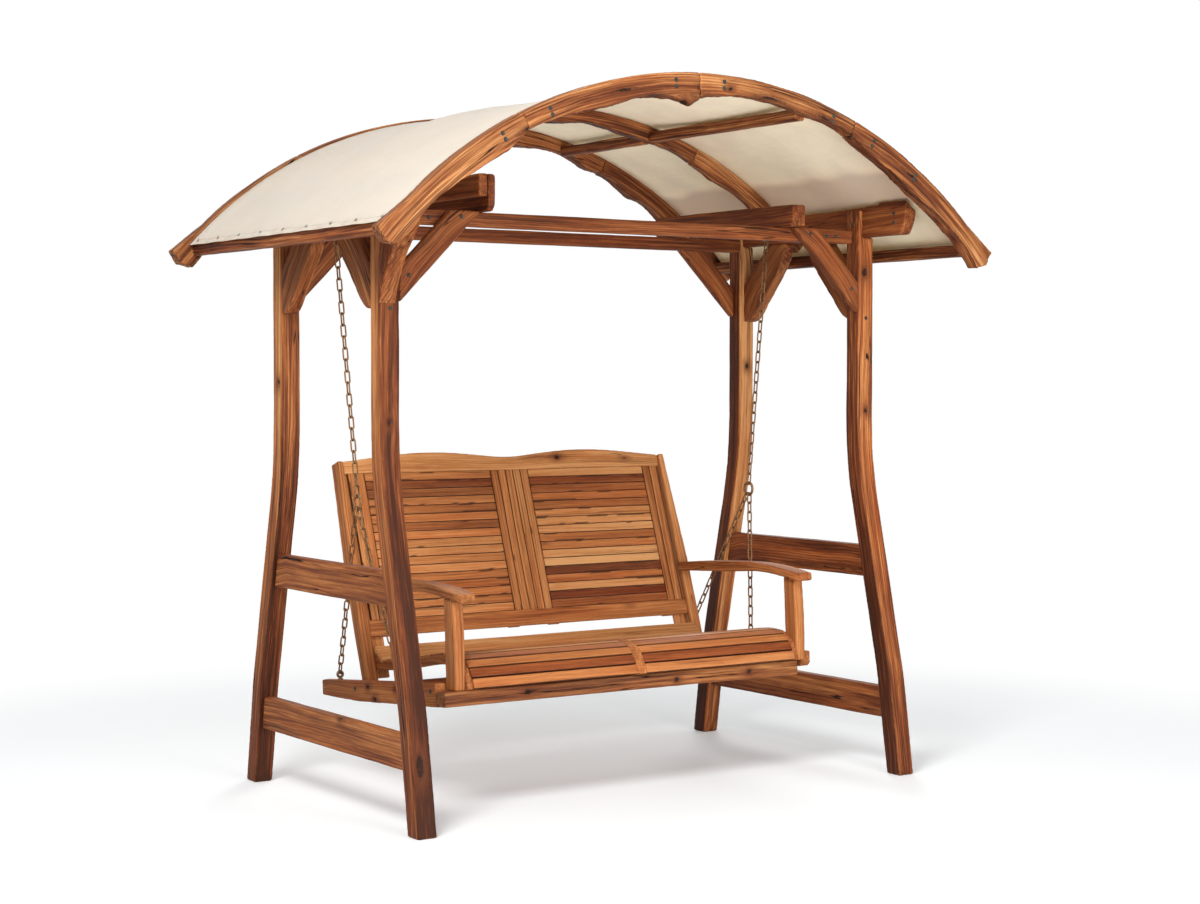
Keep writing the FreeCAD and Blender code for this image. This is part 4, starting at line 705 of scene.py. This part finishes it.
def planed_board(corners, chance, ease, tone, red, side_dirt_and_shade, swell):
    """A board with eased arrises, rounded ends, a slight bow and its own stretch of grain."""
    middle, axes, halves = box_axes(corners)
    halves[1:] += swell
    section, on_arris = board_section(halves[1], halves[2], ease)
    around = len(section)
    length_steps = max(int(2 * halves[0] / BOARD_STATION), FEWEST_STATIONS)
    inner = np.linspace(-halves[0] + ease, halves[0] - ease, length_steps + 1)
    stations = [(-halves[0], 1.0), (-halves[0] + END_STEP * ease, END_STEP_INSET)]
    stations += [(place, 0.0) for place in inner]
    stations += [(halves[0] - END_STEP * ease, END_STEP_INSET), (halves[0], 1.0)]
    shrink = ease / np.array([halves[1], halves[2]])
    rows = [np.column_stack([np.full(around, place), section * (1 - inset * shrink)])
            for place, inset in stations]
    local = np.vstack(rows)
    seed = chance.uniform(0, SEED_SPREAD, 3)
    bow = smooth_noise(np.column_stack([local[:, 0] / BOW_WAVE, np.zeros((len(local), 2))]) + seed)
    skin = layered_noise(local + seed, SKIN_WAVES, 2)
    local[:, 2] += BOW * bow
    local[:, 1] += SKIN * skin
    mesh = bpy.data.meshes.new("board")
    mesh.from_pydata((middle + local @ axes).tolist(), [], board_faces(len(stations), around))
    ends = np.array([inset for _, inset in stations]).repeat(around)
    edge = np.maximum(np.tile(on_arris, len(stations)) * ARRIS_MARK, ends * END_MARK)
    # Dirt and painted shade on the narrow sides, where the gaps between close boards are dark
    if side_dirt_and_shade:
        edge = np.where(np.abs(local[:, 1]) > halves[1] - SIDE_DIRT_AND_SHADE_EASE_SHARE * ease, SIDE_DIRT_AND_SHADE_MARK, edge)
    even = np.ones(len(local))
    write_attributes(mesh, grain=local + seed, tone=tone * even, red=red * even,
                     knot=FAR_FROM_KNOT * even, edge=edge)
    return mesh


def planed(node, material, way, tones, reds, ease=BOARD_EASE, side_dirt_and_shade=False, swell=0.0):
    """A set of boards, each with the next tone and redness, the left half first and then along the way.
    The narrow sides of boards marked for side dirt and shade darken with dirt and painted shade in the gaps
    between them, and swell widens boards that lie close together."""
    chance = np.random.default_rng(sum(map(ord, node)))
    boards = sorted((points for points, _ in solids_of(node)),
                    key=lambda points: (points[:, 0].mean() > 0, points.mean(axis=0) @ np.array(way)))
    meshes = []
    for number, points in enumerate(boards):
        tone = tones[number % len(tones)] + chance.uniform(-1, 1) * TONE_SPREAD
        red = reds[number % len(reds)]
        meshes.append(planed_board(points, chance, ease, tone, red, side_dirt_and_shade, swell))
    joined(f"{node}_planed", meshes, material, node)


# Canopy cloth

CLOTH_MIDDLE_RADIUS = 1.4783
CLOTH_THICKNESS = 0.0014
CLOTH_REACH = 1.080
CLOTH_EDGE_GAP = 0.0012
CLOTH_STEP = 0.008
CLOTH_SAG = 0.014
CROWN_FULLNESS = 0.6
MIDDLE_RIB = (0.116, 0.164)
FRONT_BAY_SAG_SHARES = ((0.0, 0.0), (0.25, 0.72), (0.5, 1.0), (0.75, 0.68), (1.0, 0.0))
REAR_BAY_SAG_SHARES = ((0.0, 0.0), (0.3, 0.5), (0.65, 0.5), (1.0, 0.0))
TACK_COUNT = 9
TACK_INSET = 0.045
PUCKER = 0.0008
PUCKER_REACH = 0.06
CLOTH_WAVE = 0.0016
CLOTH_WAVES = (0.42, 0.13, 1.0)
DRAG = 0.0009
DRAG_WAVES = (0.05, 0.30, 1.0)
DRAG_REACH = 0.09
DRAG_SHIFT = 5
SLACK_FROM_RIB = 0.05
SLACK_FROM_EDGE = 0.03
SLACK_DROP = 0.001

CANVAS = (0.655, 0.580, 0.498)
CANVAS_SHADE = (0.580, 0.500, 0.410)
CANVAS_UNDERSIDE_PAINTED_LIGHT = (0.980, 0.785, 0.590)
CANVAS_SHADOW = (0.53, 0.515, 0.50)
CANVAS_STAIN = (0.420, 0.300, 0.200)
SHADED_BAND = (1.875, 1.900, 1.960, 1.985)
BAND_CREASE = 0.05
BAND_STRENGTH = 0.8
THREAD_PITCH = 0.0022
HEM_WIDTH = 0.022
HEM_STEP = 0.001
FACING_DOWN = (0.1, -0.1)
CLOUDS = (0.38, 0.72, 0.0, 0.40)
SLUBS = (0.90, 1.35, 0.0, 0.30)
WEAVE_SHADE = 0.05
DAMP_REACH = (0.05, 0.0)
DAMP_CREEP = (0.35, 0.70)
DAMP_STRENGTH = 0.38
STITCH = (0.0010, 0.0022, 1.0, 0.0)
STITCH_STRENGTH = 0.35
CANVAS_NOISES = {
    "creases": ((1.2, 4, 1), 1, 0.5),
    "warp_slubs": ((6, 520, 1), 2, 0.5),
    "weft_slubs": ((520, 6, 1), 2, 0.5),
    "clouds": ((3.0, 3.0, 1), 4, 0.6),
    "creep": ((22, 22, 1), 4, 0.5),
}
CANVAS_RELIEF = {"weave": 0.22, "slubs": 0.8, "hem": 1.6, "stitch": -0.9}
CANVAS_BUMP = (0.35, 0.0008)


def cloth_sag(y, front, rear):
    """Share of the full sag at a place between the ribs."""
    runs = []
    depths = []
    bays = ((front, MIDDLE_RIB[0], FRONT_BAY_SAG_SHARES), (MIDDLE_RIB[1], rear, REAR_BAY_SAG_SHARES))
    for start, stop, shares in bays:
        runs.extend(start + share * (stop - start) for share, _ in shares)
        depths.extend(depth for _, depth in shares)
    return np.interp(y, runs, depths)


def cloth_skin(angle, grain, front, rear, half_angle):
    """How far each point is from the arch's centre, with sag, drag lines and puckers at the tacks, and
    how far from the nearest edge of the cloth."""
    y = grain[:, 1]
    crown = np.cos(angle / half_angle * pi / 2) ** CROWN_FULLNESS
    radius = CLOTH_MIDDLE_RADIUS - CLOTH_SAG * cloth_sag(y, front, rear) * crown
    pitch = 2 * (rear - TACK_INSET) / (TACK_COUNT - 1)
    edge_distance = (half_angle - np.abs(angle)) * CLOTH_MIDDLE_RADIUS
    pucker = np.exp(-edge_distance / PUCKER_REACH) * np.cos(2 * pi * (y + rear - TACK_INSET) / pitch)
    rib_distance = np.minimum(y - front, rear - y)
    slack = np.clip(rib_distance / SLACK_FROM_RIB, 0, 1) * np.clip(edge_distance / SLACK_FROM_EDGE, 0, 1)
    waves = layered_noise(grain, CLOTH_WAVES, 3)
    drag = layered_noise(grain[:, [1, 0, 2]] + DRAG_SHIFT, DRAG_WAVES, 2)
    drag *= np.exp(-rib_distance / DRAG_REACH)
    skin = radius + PUCKER * pucker + slack * (CLOTH_WAVE * waves + DRAG * drag) - SLACK_DROP * slack
    return skin, np.minimum(edge_distance, rib_distance)


def canvas_material():
    """Natural cotton canvas: a plain weave with slubs, doubled hems and faint stains, with painted light on
    the underside.
    """
    material, nodes, shader = new_material("canvas")
    grain = nodes.attribute("grain", "Vector")
    hem = nodes.attribute("hem")
    split = nodes.add("ShaderNodeSeparateXYZ", {0: grain})
    warp = nodes.maths("SINE", nodes.times(split.outputs[0], 2 * pi / THREAD_PITCH))
    weft = nodes.maths("SINE", nodes.times(split.outputs[1], 2 * pi / THREAD_PITCH))
    weave = nodes.times(warp, weft)
    found = {name: nodes.noise(grain, *settings) for name, settings in CANVAS_NOISES.items()}
    slubs = nodes.maths("ADD", found["warp_slubs"], found["weft_slubs"])
    normal = nodes.add("ShaderNodeNewGeometry").outputs["True Normal"]
    upward = nodes.add("ShaderNodeSeparateXYZ", {0: normal}).outputs[2]
    facing_down = nodes.between(upward, *FACING_DOWN)
    # Painted light: the underside gets a brighter, warmer colour than the top, for light from the floor and
    # through the cloth
    colour = nodes.mix(facing_down, CANVAS, CANVAS_UNDERSIDE_PAINTED_LIGHT)

    # A shaded band above the beams, on the underside alone
    low, low_full, high_full, high = SHADED_BAND
    height = nodes.plus_scaled(nodes.attribute("height"), nodes.centred(found["creases"]), BAND_CREASE)
    band = nodes.times(nodes.between(height, low, low_full), nodes.between(height, high, high_full))
    band_share = nodes.times(nodes.times(band, facing_down), BAND_STRENGTH)
    colour = nodes.mix(band_share, colour, CANVAS_SHADOW, "MULTIPLY")

    # Clouds, slubs, the weave, stains and stitches along the hems
    colour = nodes.mix(nodes.between(found["clouds"], *CLOUDS), colour, CANVAS_SHADE)
    colour = nodes.mix(nodes.between(slubs, *SLUBS), colour, CANVAS_SHADE)
    colour = nodes.mix(nodes.plus_scaled(WEAVE_SHADE, weave, -WEAVE_SHADE), colour, CANVAS_SHADE)
    damp = nodes.times(nodes.between(hem, *DAMP_REACH), nodes.between(found["creep"], *DAMP_CREEP))
    colour = nodes.mix(nodes.times(damp, DAMP_STRENGTH), colour, CANVAS_STAIN)
    stitch_line = nodes.maths("ABSOLUTE", nodes.maths("SUBTRACT", hem, HEM_WIDTH))
    stitch = nodes.between(stitch_line, *STITCH)
    colour = nodes.mix(nodes.times(stitch, STITCH_STRENGTH), colour, CANVAS_STAIN)

    doubled = nodes.between(hem, HEM_WIDTH + HEM_STEP, HEM_WIDTH - HEM_STEP)
    relief = nodes.times(weave, CANVAS_RELIEF["weave"])
    for part, given in {"slubs": slubs, "hem": doubled, "stitch": stitch}.items():
        relief = nodes.plus_scaled(relief, given, CANVAS_RELIEF[part])
    nodes.give(shader, {
        "Base Color": colour,
        "Roughness": 0.88,
        "Specular IOR Level": 0.25,
        "Sheen Weight": 0.10,
        "Sheen Roughness": 0.5,
        "Subsurface Weight": 0.85,
        "Subsurface Radius": (1.0, 0.85, 0.62),
        "Subsurface Scale": 0.004,
        "Normal": nodes.bump(relief, *CANVAS_BUMP),
    })
    return material


def make_canopy():
    """The canvas as one curved sheet with turned hems, stretched over the ribs."""
    low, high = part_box("canopy_cloth")
    front = low.y + CLOTH_EDGE_GAP
    rear = high.y - CLOTH_EDGE_GAP
    half_angle = asin(CLOTH_REACH / CLOTH_MIDDLE_RADIUS)
    step = CLOTH_STEP * COARSENESS
    across_count = int(2 * half_angle * CLOTH_MIDDLE_RADIUS / step)
    along_count = int((rear - front) / step)
    angles = np.linspace(-half_angle, half_angle, across_count + 1)
    places = np.linspace(front, rear, along_count + 1)
    angle, y = (grid.ravel() for grid in np.meshgrid(angles, places, indexing="ij"))
    grain = np.column_stack([angle * CLOTH_MIDDLE_RADIUS, y, np.zeros_like(y)])
    radius, hem = cloth_skin(angle, grain, front, rear, half_angle)
    points = np.column_stack([radius * np.sin(angle), y, ARCH_CENTRE.z + radius * np.cos(angle)])
    row = along_count + 1
    corners = (number * row + place for number in range(across_count) for place in range(along_count))
    faces = [(corner, corner + row, corner + row + 1, corner + 1) for corner in corners]
    mesh = bpy.data.meshes.new("canopy_canvas")
    mesh.from_pydata(points.tolist(), [], faces)
    write_attributes(mesh, grain=grain, hem=hem, height=points[:, 2])
    mesh.shade_smooth()
    mesh.materials.append(canvas_material())
    canvas = new_object("canopy_canvas", mesh)
    body = canvas.modifiers.new("thickness", "SOLIDIFY")
    body.thickness = CLOTH_THICKNESS
    body.offset = 0
    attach(canvas, "stand")
    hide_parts("canopy_cloth")


# Metal

RUST = (0.20, 0.075, 0.028)
METAL_NOISES = {
    "mottle": ((260, 260, 260), 4, 0.65),
    "fine": ((1400, 1400, 1400), 3, 0.6),
    "patches": ((70, 70, 70), 3, 0.6),
}
METAL_BUMP = (0.3, 0.0004)
MOTTLING = (0.30, 0.70)
RUST_LIMITS = (0.62, 0.80)
RUST_SPREAD = (0.35, 0.25)
RUST_STRENGTH = 0.8
MOTTLE_ROUGHENING = 0.30
RUST_ROUGHENING = 0.22


def metal_material(name, dark, light, rough, rust, metallic, shine=0.5):
    """Weathered steel: mottled, and duller where it has browned."""
    material, nodes, shader = new_material(name)
    place = nodes.add("ShaderNodeTexCoord").outputs["Object"]
    mottle, fine, patches = (nodes.noise(place, *settings) for settings in METAL_NOISES.values())
    colour = nodes.mix(nodes.between(mottle, *MOTTLING), dark, light)
    limits = [limit - spread * rust for limit, spread in zip(RUST_LIMITS, RUST_SPREAD)]
    rusty = nodes.between(patches, *limits)
    colour = nodes.mix(nodes.times(rusty, RUST_STRENGTH * rust), colour, RUST)
    dull = nodes.plus_scaled(rough, mottle, MOTTLE_ROUGHENING)
    dull = nodes.plus_scaled(dull, rusty, RUST_ROUGHENING * rust, clamp=True)
    nodes.give(shader, {"Base Color": colour, "Roughness": dull, "Metallic": metallic,
                        "Specular IOR Level": shine, "Normal": nodes.bump(fine, *METAL_BUMP)})
    return material


def give_material(material, *nodes):
    """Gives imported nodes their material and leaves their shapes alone."""
    for node in nodes:
        data = frame["nodes"][node].data
        data.materials.clear()
        data.materials.append(material)


# Stage and light

CAMERA_PLACE = (-3.9342, -5.9367, 1.30)
CAMERA_TURN = (88.115, 0.0, -33.995)
CAMERA_LENS = 65.53
SENSOR_WIDTH = 36.0
CLIP_END = 200
FLOOR_REACH = 40.0
FLOOR_COLOUR = (0.875, 0.910, 0.935)
FLOOR_LIFT = 0.16
WHITE_FLOOR_DISTANCES = (1.9, 3.4)
WHITE = (1, 1, 1)
WORLD_COLOUR = (0.97, 0.985, 1)
WORLD_FILL = 0.36

# Each lamp: place, target, size, power and colour
LAMPS = {
    "key": ((-4.0, -3.0, 5.0), (0, 0, 0.9), 2.4, 300, (1.0, 0.985, 0.96)),
    "front_fill": ((-0.6, -6.4, 1.7), (0, 0, 1.0), 2.4, 150, (1.0, 0.98, 0.95)),
    "low_fill": ((0.4, -4.6, 0.35), (0, 0, 1.9), 1.6, 95, (1.0, 0.97, 0.92)),
    "rear_fill": ((3.6, 4.4, 3.6), (0, 0, 1.2), 2.4, 110, (1.0, 0.98, 0.95)),
}


def make_floor():
    """A pale floor that keeps shadows near the object and fades to white further off."""
    mesh = bpy.data.meshes.new("floor")
    corners = ((-1, -1), (1, -1), (1, 1), (-1, 1))
    mesh.from_pydata([(x * FLOOR_REACH, y * FLOOR_REACH, 0) for x, y in corners], [], [(0, 1, 2, 3)])
    floor = new_object("floor", mesh)
    material = bpy.data.materials.new("floor")
    material.use_nodes = True
    nodes = Nodes(material.node_tree)
    matt = {"Base Color": FLOOR_COLOUR, "Roughness": 0.8, "Specular IOR Level": 0.1}
    shader = nodes.add("ShaderNodeBsdfPrincipled", matt)
    place = nodes.add("ShaderNodeNewGeometry").outputs["Position"]
    distance = nodes.add("ShaderNodeVectorMath", {0: place}, operation="LENGTH").outputs["Value"]
    _, seen = nodes.seen_rays()
    lift = nodes.add("ShaderNodeEmission", {"Color": WHITE, "Strength": nodes.times(seen, FLOOR_LIFT)})
    lifted = nodes.add("ShaderNodeAddShader", {0: shader.outputs[0], 1: lift.outputs[0]})
    white = nodes.add("ShaderNodeEmission", {"Color": WHITE, "Strength": 1.0})
    share = nodes.times(nodes.between(distance, *WHITE_FLOOR_DISTANCES), seen)
    blend = nodes.add("ShaderNodeMixShader", {0: share, 1: lifted.outputs[0], 2: white.outputs[0]})
    nodes.add("ShaderNodeOutputMaterial", {0: blend.outputs[0]})
    mesh.materials.append(material)


def make_world():
    """Soft light on the object, and white wherever the world itself is seen."""
    world = bpy.data.worlds.new("studio")
    bpy.context.scene.world = world
    world.use_nodes = True
    nodes = Nodes(world.node_tree)
    path, seen = nodes.seen_rays()
    seen = nodes.maths("MAXIMUM", seen, path.outputs["Is Transmission Ray"])
    fill = nodes.add("ShaderNodeBackground", {"Color": WORLD_COLOUR, "Strength": WORLD_FILL})
    white = nodes.add("ShaderNodeBackground", {"Color": WHITE, "Strength": 1.0})
    blend = nodes.add("ShaderNodeMixShader", {0: seen, 1: fill.outputs[0], 2: white.outputs[0]})
    nodes.add("ShaderNodeOutputWorld", {0: blend.outputs[0]})


def make_lamp(name, place, target, size, power, colour):
    lamp = bpy.data.lights.new(name, "AREA")
    lamp.shape = "DISK"
    lamp.size = size
    lamp.energy = power
    lamp.color = colour
    holder = new_object(name, lamp)
    holder.location = place
    holder.rotation_euler = (Vector(target) - Vector(place)).to_track_quat("-Z", "Y").to_euler()
    holder.visible_camera = False


def make_camera():
    lens = bpy.data.cameras.new("camera")
    lens.lens = CAMERA_LENS
    lens.sensor_width = SENSOR_WIDTH
    lens.clip_end = CLIP_END
    camera = new_object("camera", lens)
    camera.location = CAMERA_PLACE
    camera.rotation_euler = Euler([radians(angle) for angle in CAMERA_TURN])
    bpy.context.scene.camera = camera


bpy.context.scene.view_settings.view_transform = "Standard"
make_camera()
make_floor()
make_world()
for name, lamp_values in LAMPS.items():
    make_lamp(name, *lamp_values)

# Timbers of the stand

leg_wood = wood_material("leg_wood", contrast=1.1, streak=1.2, checks=1.3)
rail_wood = wood_material("rail_wood", checks=1.2)
beam_wood = wood_material("beam_wood", contrast=0.9, streak=0.9)
brace_wood = wood_material("brace_wood")
rib_wood = wood_material("rib_wood", contrast=1.35, streak=1.3, checks=1.6, pins=0.14, grey=0.6)

STAND_VOXEL = 0.0042
RIB_VOXEL = 0.0040
LEG_CUT = Cut(STAND_VOXEL, leg_wood, "leg_timber", uneven=0.001, chip=0.0025)
RAIL_CUT = Cut(STAND_VOXEL, rail_wood, "rail_timber", uneven=0.0009, chip=0.002)
SIDE_BEAM_CUT = Cut(STAND_VOXEL, beam_wood, "beam_timber", uneven=0.001, chip=0.0025)
CROSS_BEAM_CUT = Cut(STAND_VOXEL, beam_wood, "beam_timber", uneven=0.001, chip=0.002)
LONG_BEAM_CUT = Cut(STAND_VOXEL, beam_wood, "beam_timber", uneven=0.0008, chip=0.0015)
KNEE_BRACE_CUT = Cut(STAND_VOXEL, beam_wood, "brace_timber", uneven=0.0008, chip=0.002)
SIDE_BRACE_CUT = Cut(STAND_VOXEL, brace_wood, "brace_timber", uneven=0.0022, chip=0.005)
CORBEL_CUT = Cut(STAND_VOXEL, brace_wood, "brace_timber", uneven=0.002, chip=0.005)
RIB_CUT = Cut(RIB_VOXEL, rib_wood, "rib_timber", uneven=0.0018, chip=0.01)
MIDDLE_RIB_CUT = Cut(RIB_VOXEL, rib_wood, "rib_timber", uneven=0.0016, chip=0.01)
PURLIN_CUT = Cut(STAND_VOXEL, rib_wood, "rib_timber", uneven=0.0014, chip=0.004)

SIDES = ("left", "right")
ENDS = ("front", "rear")
KNEE_SLOPE = 45.0
TOWARDS_FRONT = (0, -1, 0)

# Each leg: its tone, the tone painted on the side towards the front (painted light where it is
# lighter, painted shade where it is darker), and its knots
LEGS = {
    "leg_front_left": (0.62, 0.30, (((-0.909, -0.539, 0.205), 0.008, 2.8),
                                    ((-0.905, -0.357, 1.180), 0.004, 1.4))),
    "leg_rear_left": (0.80, 0.42, (((-0.935, 0.315, 1.290), 0.004, 1.6),)),
    "leg_front_right": (0.34, 0.58, (((0.897, -0.357, 1.660), 0.006, 1.8),
                                     ((0.905, -0.357, 1.200), 0.004, 1.3))),
    "leg_rear_right": (0.34, 0.88, (((0.905, 0.293, 1.350), 0.003, 1.5),)),
}
RAILS = {
    "lower_rail_left": (0.52, (((-0.930, -0.070, 0.300), 0.003, 1.5),)),
    "upper_rail_left": (0.50, ()),
    "lower_rail_right": (0.44, ()),
    "upper_rail_right": (0.41, ()),
}
RIB_KNOTS = (((-0.110, -0.700, 2.105), 0.007, 1.5), ((0.060, -0.715, 2.170), 0.003, 1.6),
             ((0.210, -0.716, 2.150), 0.0025, 7.0), ((0.420, -0.716, 2.105), 0.0022, 6.0),
             ((-0.330, -0.716, 2.140), 0.0022, 6.0), ((0.780, -0.716, 1.950), 0.0022, 6.0))
RIB_BURL = -0.11

for side_name in SIDES:
    knee_turn = ("Y", -KNEE_SLOPE if side_name == "left" else KNEE_SLOPE)
    for end_name in ENDS:
        name = f"leg_{end_name}_{side_name}"
        tone, painted_face_tone, knots = LEGS[name]
        timber(name, LEG_CUT, tone, red=0.35, painted_face=(TOWARDS_FRONT, painted_face_tone),
               foot_shade=FOOT_SHADE, knots=knots)
        timber(f"knee_brace_{end_name}_{side_name}", KNEE_BRACE_CUT, 0.40, turn=knee_turn)
        brace_turn = ("X", -KNEE_SLOPE if end_name == "front" else KNEE_SLOPE)
        timber(f"side_brace_{end_name}_{side_name}", SIDE_BRACE_CUT, 0.50, red=0.2, turn=brace_turn)
    for level in ("lower", "upper"):
        name = f"{level}_rail_{side_name}"
        tone, knots = RAILS[name]
        timber(name, RAIL_CUT, tone, red=0.35, knots=knots)
    timber(f"side_beam_{side_name}", SIDE_BEAM_CUT, 0.37, red=0.35)
    timber(f"cross_beam_{side_name}", CROSS_BEAM_CUT, 0.36, red=0.35)
timber("long_beam_front", LONG_BEAM_CUT, 0.36)
timber("rib_front", RIB_CUT, 0.53, red=0.15, arch=True, burl=RIB_BURL, knots=RIB_KNOTS)
timber("long_beam_rear", LONG_BEAM_CUT, 0.36)
timber("rib_rear", RIB_CUT, 0.53, red=0.15, arch=True)
timber("rib_middle", MIDDLE_RIB_CUT, 0.46, red=0.25, arch=True)
timber("cross_ledgers", CROSS_BEAM_CUT, 0.40)
timber("corbel_front_left", CORBEL_CUT, 0.52, turn=("Y", -KNEE_SLOPE))
timber("purlins", PURLIN_CUT, 0.36)
timber("eave_rails", PURLIN_CUT, 0.34, red=0.5)

# Timbers of the bench

bench_wood = wood_material("bench_wood", contrast=0.8, streak=0.8, checks=0.7)
bearer_wood = wood_material("bearer_wood", contrast=0.9, checks=1.2, grey=0.95, pins=0.20)
slat_finish = {"contrast": 0.55, "streak": 0.8, "checks": 0.15, "pins": 0.04}
seat_wood = wood_material("seat_slat_wood", gloss=0.40, **slat_finish)
back_wood = wood_material("back_slat_wood", gloss=0.42, **slat_finish)

BENCH_VOXEL = 0.0033
SLED_CUT = Cut(BENCH_VOXEL, bench_wood, "bench_timber", uneven=0.001, chip=0.003)
BACK_POST_CUT = Cut(BENCH_VOXEL, bench_wood, "bench_timber", uneven=0.0008, chip=0.002)
FRONT_BEARER_CUT = Cut(BENCH_VOXEL, bearer_wood, "bench_timber", uneven=0.001, chip=0.0025)
REAR_BEARER_CUT = Cut(BENCH_VOXEL, bench_wood, "bench_timber", uneven=0.0008, chip=0.001)
FINE_CUT = Cut(BENCH_VOXEL, bench_wood, "bench_timber", uneven=0.0006, chip=0.001)

SEAT_TURN = ("X", 5.7)
BACK_TURN = ("X", 19.3)
DOWNWARDS = (0, 0, -1)
TOWARDS_REAR = (0, 1, 0)
TOWARDS_RIGHT = (1, 0, 0)
BACK_SLAT_EASE = 0.0008
BACK_SLAT_SWELL = 0.0004
STRIP_EASE = 0.0012

LEFT_BACK_TONES = (0.64, 0.34, 0.44, 0.66, 0.52, 0.70, 0.54, 0.72, 0.66,
                   0.78, 0.70, 0.82, 0.60, 0.58, 0.70, 0.64, 0.78)
RIGHT_BACK_TONES = (0.84, 0.36, 0.58, 0.68, 0.54, 0.82, 0.82, 0.94, 0.70,
                    0.68, 0.90, 0.98, 0.28, 0.70, 0.88, 0.32, 0.54)
LEFT_BACK_REDS = (0.3, 0.3, 0.0, 0.2, 0.2, 0.6, 0.0, 0.6, 0.0, 0.1, 0.2, 0.4, 0.2, 0.5, 0.2, 0.4, 0.5)
RIGHT_BACK_REDS = (0.1, 0.6, 0.5, 0.8, 0.3, 0.4, 0.3, 0.1, 0.4, 0.4, 0.1, 0.0, 0.3, 0.7, 0.1, 0.9, 0.6)
SEAT_TONES = (0.72, 0.40, 0.68, 0.58, 0.84, 0.58, 0.68, 0.44, 0.62,
              0.70, 0.52, 0.66, 0.58, 0.74, 0.50, 0.64, 0.68)
SEAT_REDS = (0.4, 0.8, 0.3, 0.5, 0.1, 0.4, 0.2, 0.6, 0.3, 0.1, 0.5, 0.3, 0.4, 0.1, 0.6, 0.3, 0.2)
STRIP_TONES = (0.72, 0.66, 0.62, 0.76, 0.66, 0.78, 0.70, 0.64)
STRIP_REDS = (0.1, 0.2, 0.3, 0.2, 0.1, 0.1)
SLED_KNOTS = {
    "left": (((-0.710, -0.075, 0.330), 0.006, 1.8), ((-0.710, -0.030, 0.345), 0.003, 1.2),
             ((-0.710, 0.150, 0.335), 0.003, 1.3), ((-0.710, 0.105, 0.300), 0.004, 1.4)),
    "right": (((0.710, 0.120, 0.340), 0.004, 1.6),),
}
BACK_POST_TONES = {"left": 0.60, "right": 0.76}
BEARER_KNOTS = (((-0.420, -0.335, 0.352), 0.003, 1.5), ((0.140, -0.335, 0.348), 0.003, 1.3),
                ((0.430, -0.335, 0.350), 0.004, 1.6))
CREST_KNOTS = (((0.205, 0.462, 1.035), 0.003, 1.6),)

for side_name in SIDES:
    timber(f"sled_{side_name}", SLED_CUT, 0.56, turn=SEAT_TURN, knots=SLED_KNOTS[side_name])
    timber(f"back_post_{side_name}", BACK_POST_CUT, BACK_POST_TONES[side_name], red=0.2, turn=BACK_TURN)
    timber(f"arm_{side_name}", FINE_CUT, 0.66, red=0.2)
timber("arm_posts", FINE_CUT, 0.64, red=0.25)
timber("front_bearer", FRONT_BEARER_CUT, 0.52, red=0.0, turn=SEAT_TURN, knots=BEARER_KNOTS)
timber("rear_bearer", REAR_BEARER_CUT, 0.50, turn=SEAT_TURN)
timber("contour_boards", FINE_CUT, 0.55, turn=SEAT_TURN)
timber("seat_divider", FINE_CUT, 0.58, turn=SEAT_TURN)
timber("crest_rail", FINE_CUT, 0.92, red=0.1, turn=BACK_TURN, knots=CREST_KNOTS)
timber("lower_back_rail", FINE_CUT, 0.64, red=0.4, turn=BACK_TURN)
planed("seat_slats", seat_wood, TOWARDS_REAR, SEAT_TONES, SEAT_REDS, side_dirt_and_shade=True)
planed("seat_rear_board", bench_wood, TOWARDS_REAR, (0.86,), (0.05,))
planed("back_slats", back_wood, DOWNWARDS, LEFT_BACK_TONES + RIGHT_BACK_TONES,
       LEFT_BACK_REDS + RIGHT_BACK_REDS, ease=BACK_SLAT_EASE, side_dirt_and_shade=True, swell=BACK_SLAT_SWELL)
planed("back_strips", bench_wood, TOWARDS_RIGHT, STRIP_TONES, STRIP_REDS,
       ease=STRIP_EASE, side_dirt_and_shade=True)
planed("back_stiles", bench_wood, TOWARDS_RIGHT, (0.68, 0.80), (0.2,))

# Canopy cloth and metal

make_canopy()
chain_metal = metal_material("chain_metal", (0.105, 0.048, 0.020), (0.350, 0.190, 0.072), 0.34,
                             rust=0.6, metallic=0.6)
eye_metal = metal_material("eye_metal", (0.110, 0.060, 0.030), (0.290, 0.190, 0.110), 0.36,
                           rust=0.5, metallic=0.6)
bolt_metal = metal_material("bolt_metal", (0.022, 0.019, 0.016), (0.085, 0.076, 0.066), 0.55,
                            rust=0.25, metallic=0.2, shine=0.15)
tack_metal = metal_material("tack_metal", (0.30, 0.25, 0.19), (0.48, 0.42, 0.34), 0.50,
                            rust=0.2, metallic=0.3)
give_material(chain_metal, *(node for node in frame["nodes"] if "chain" in node))
give_material(eye_metal, "hanger_eyes", "seat_eyes")
give_material(bolt_metal, "frame_bolts", "bench_bolts")
give_material(tack_metal, "canopy_tacks")
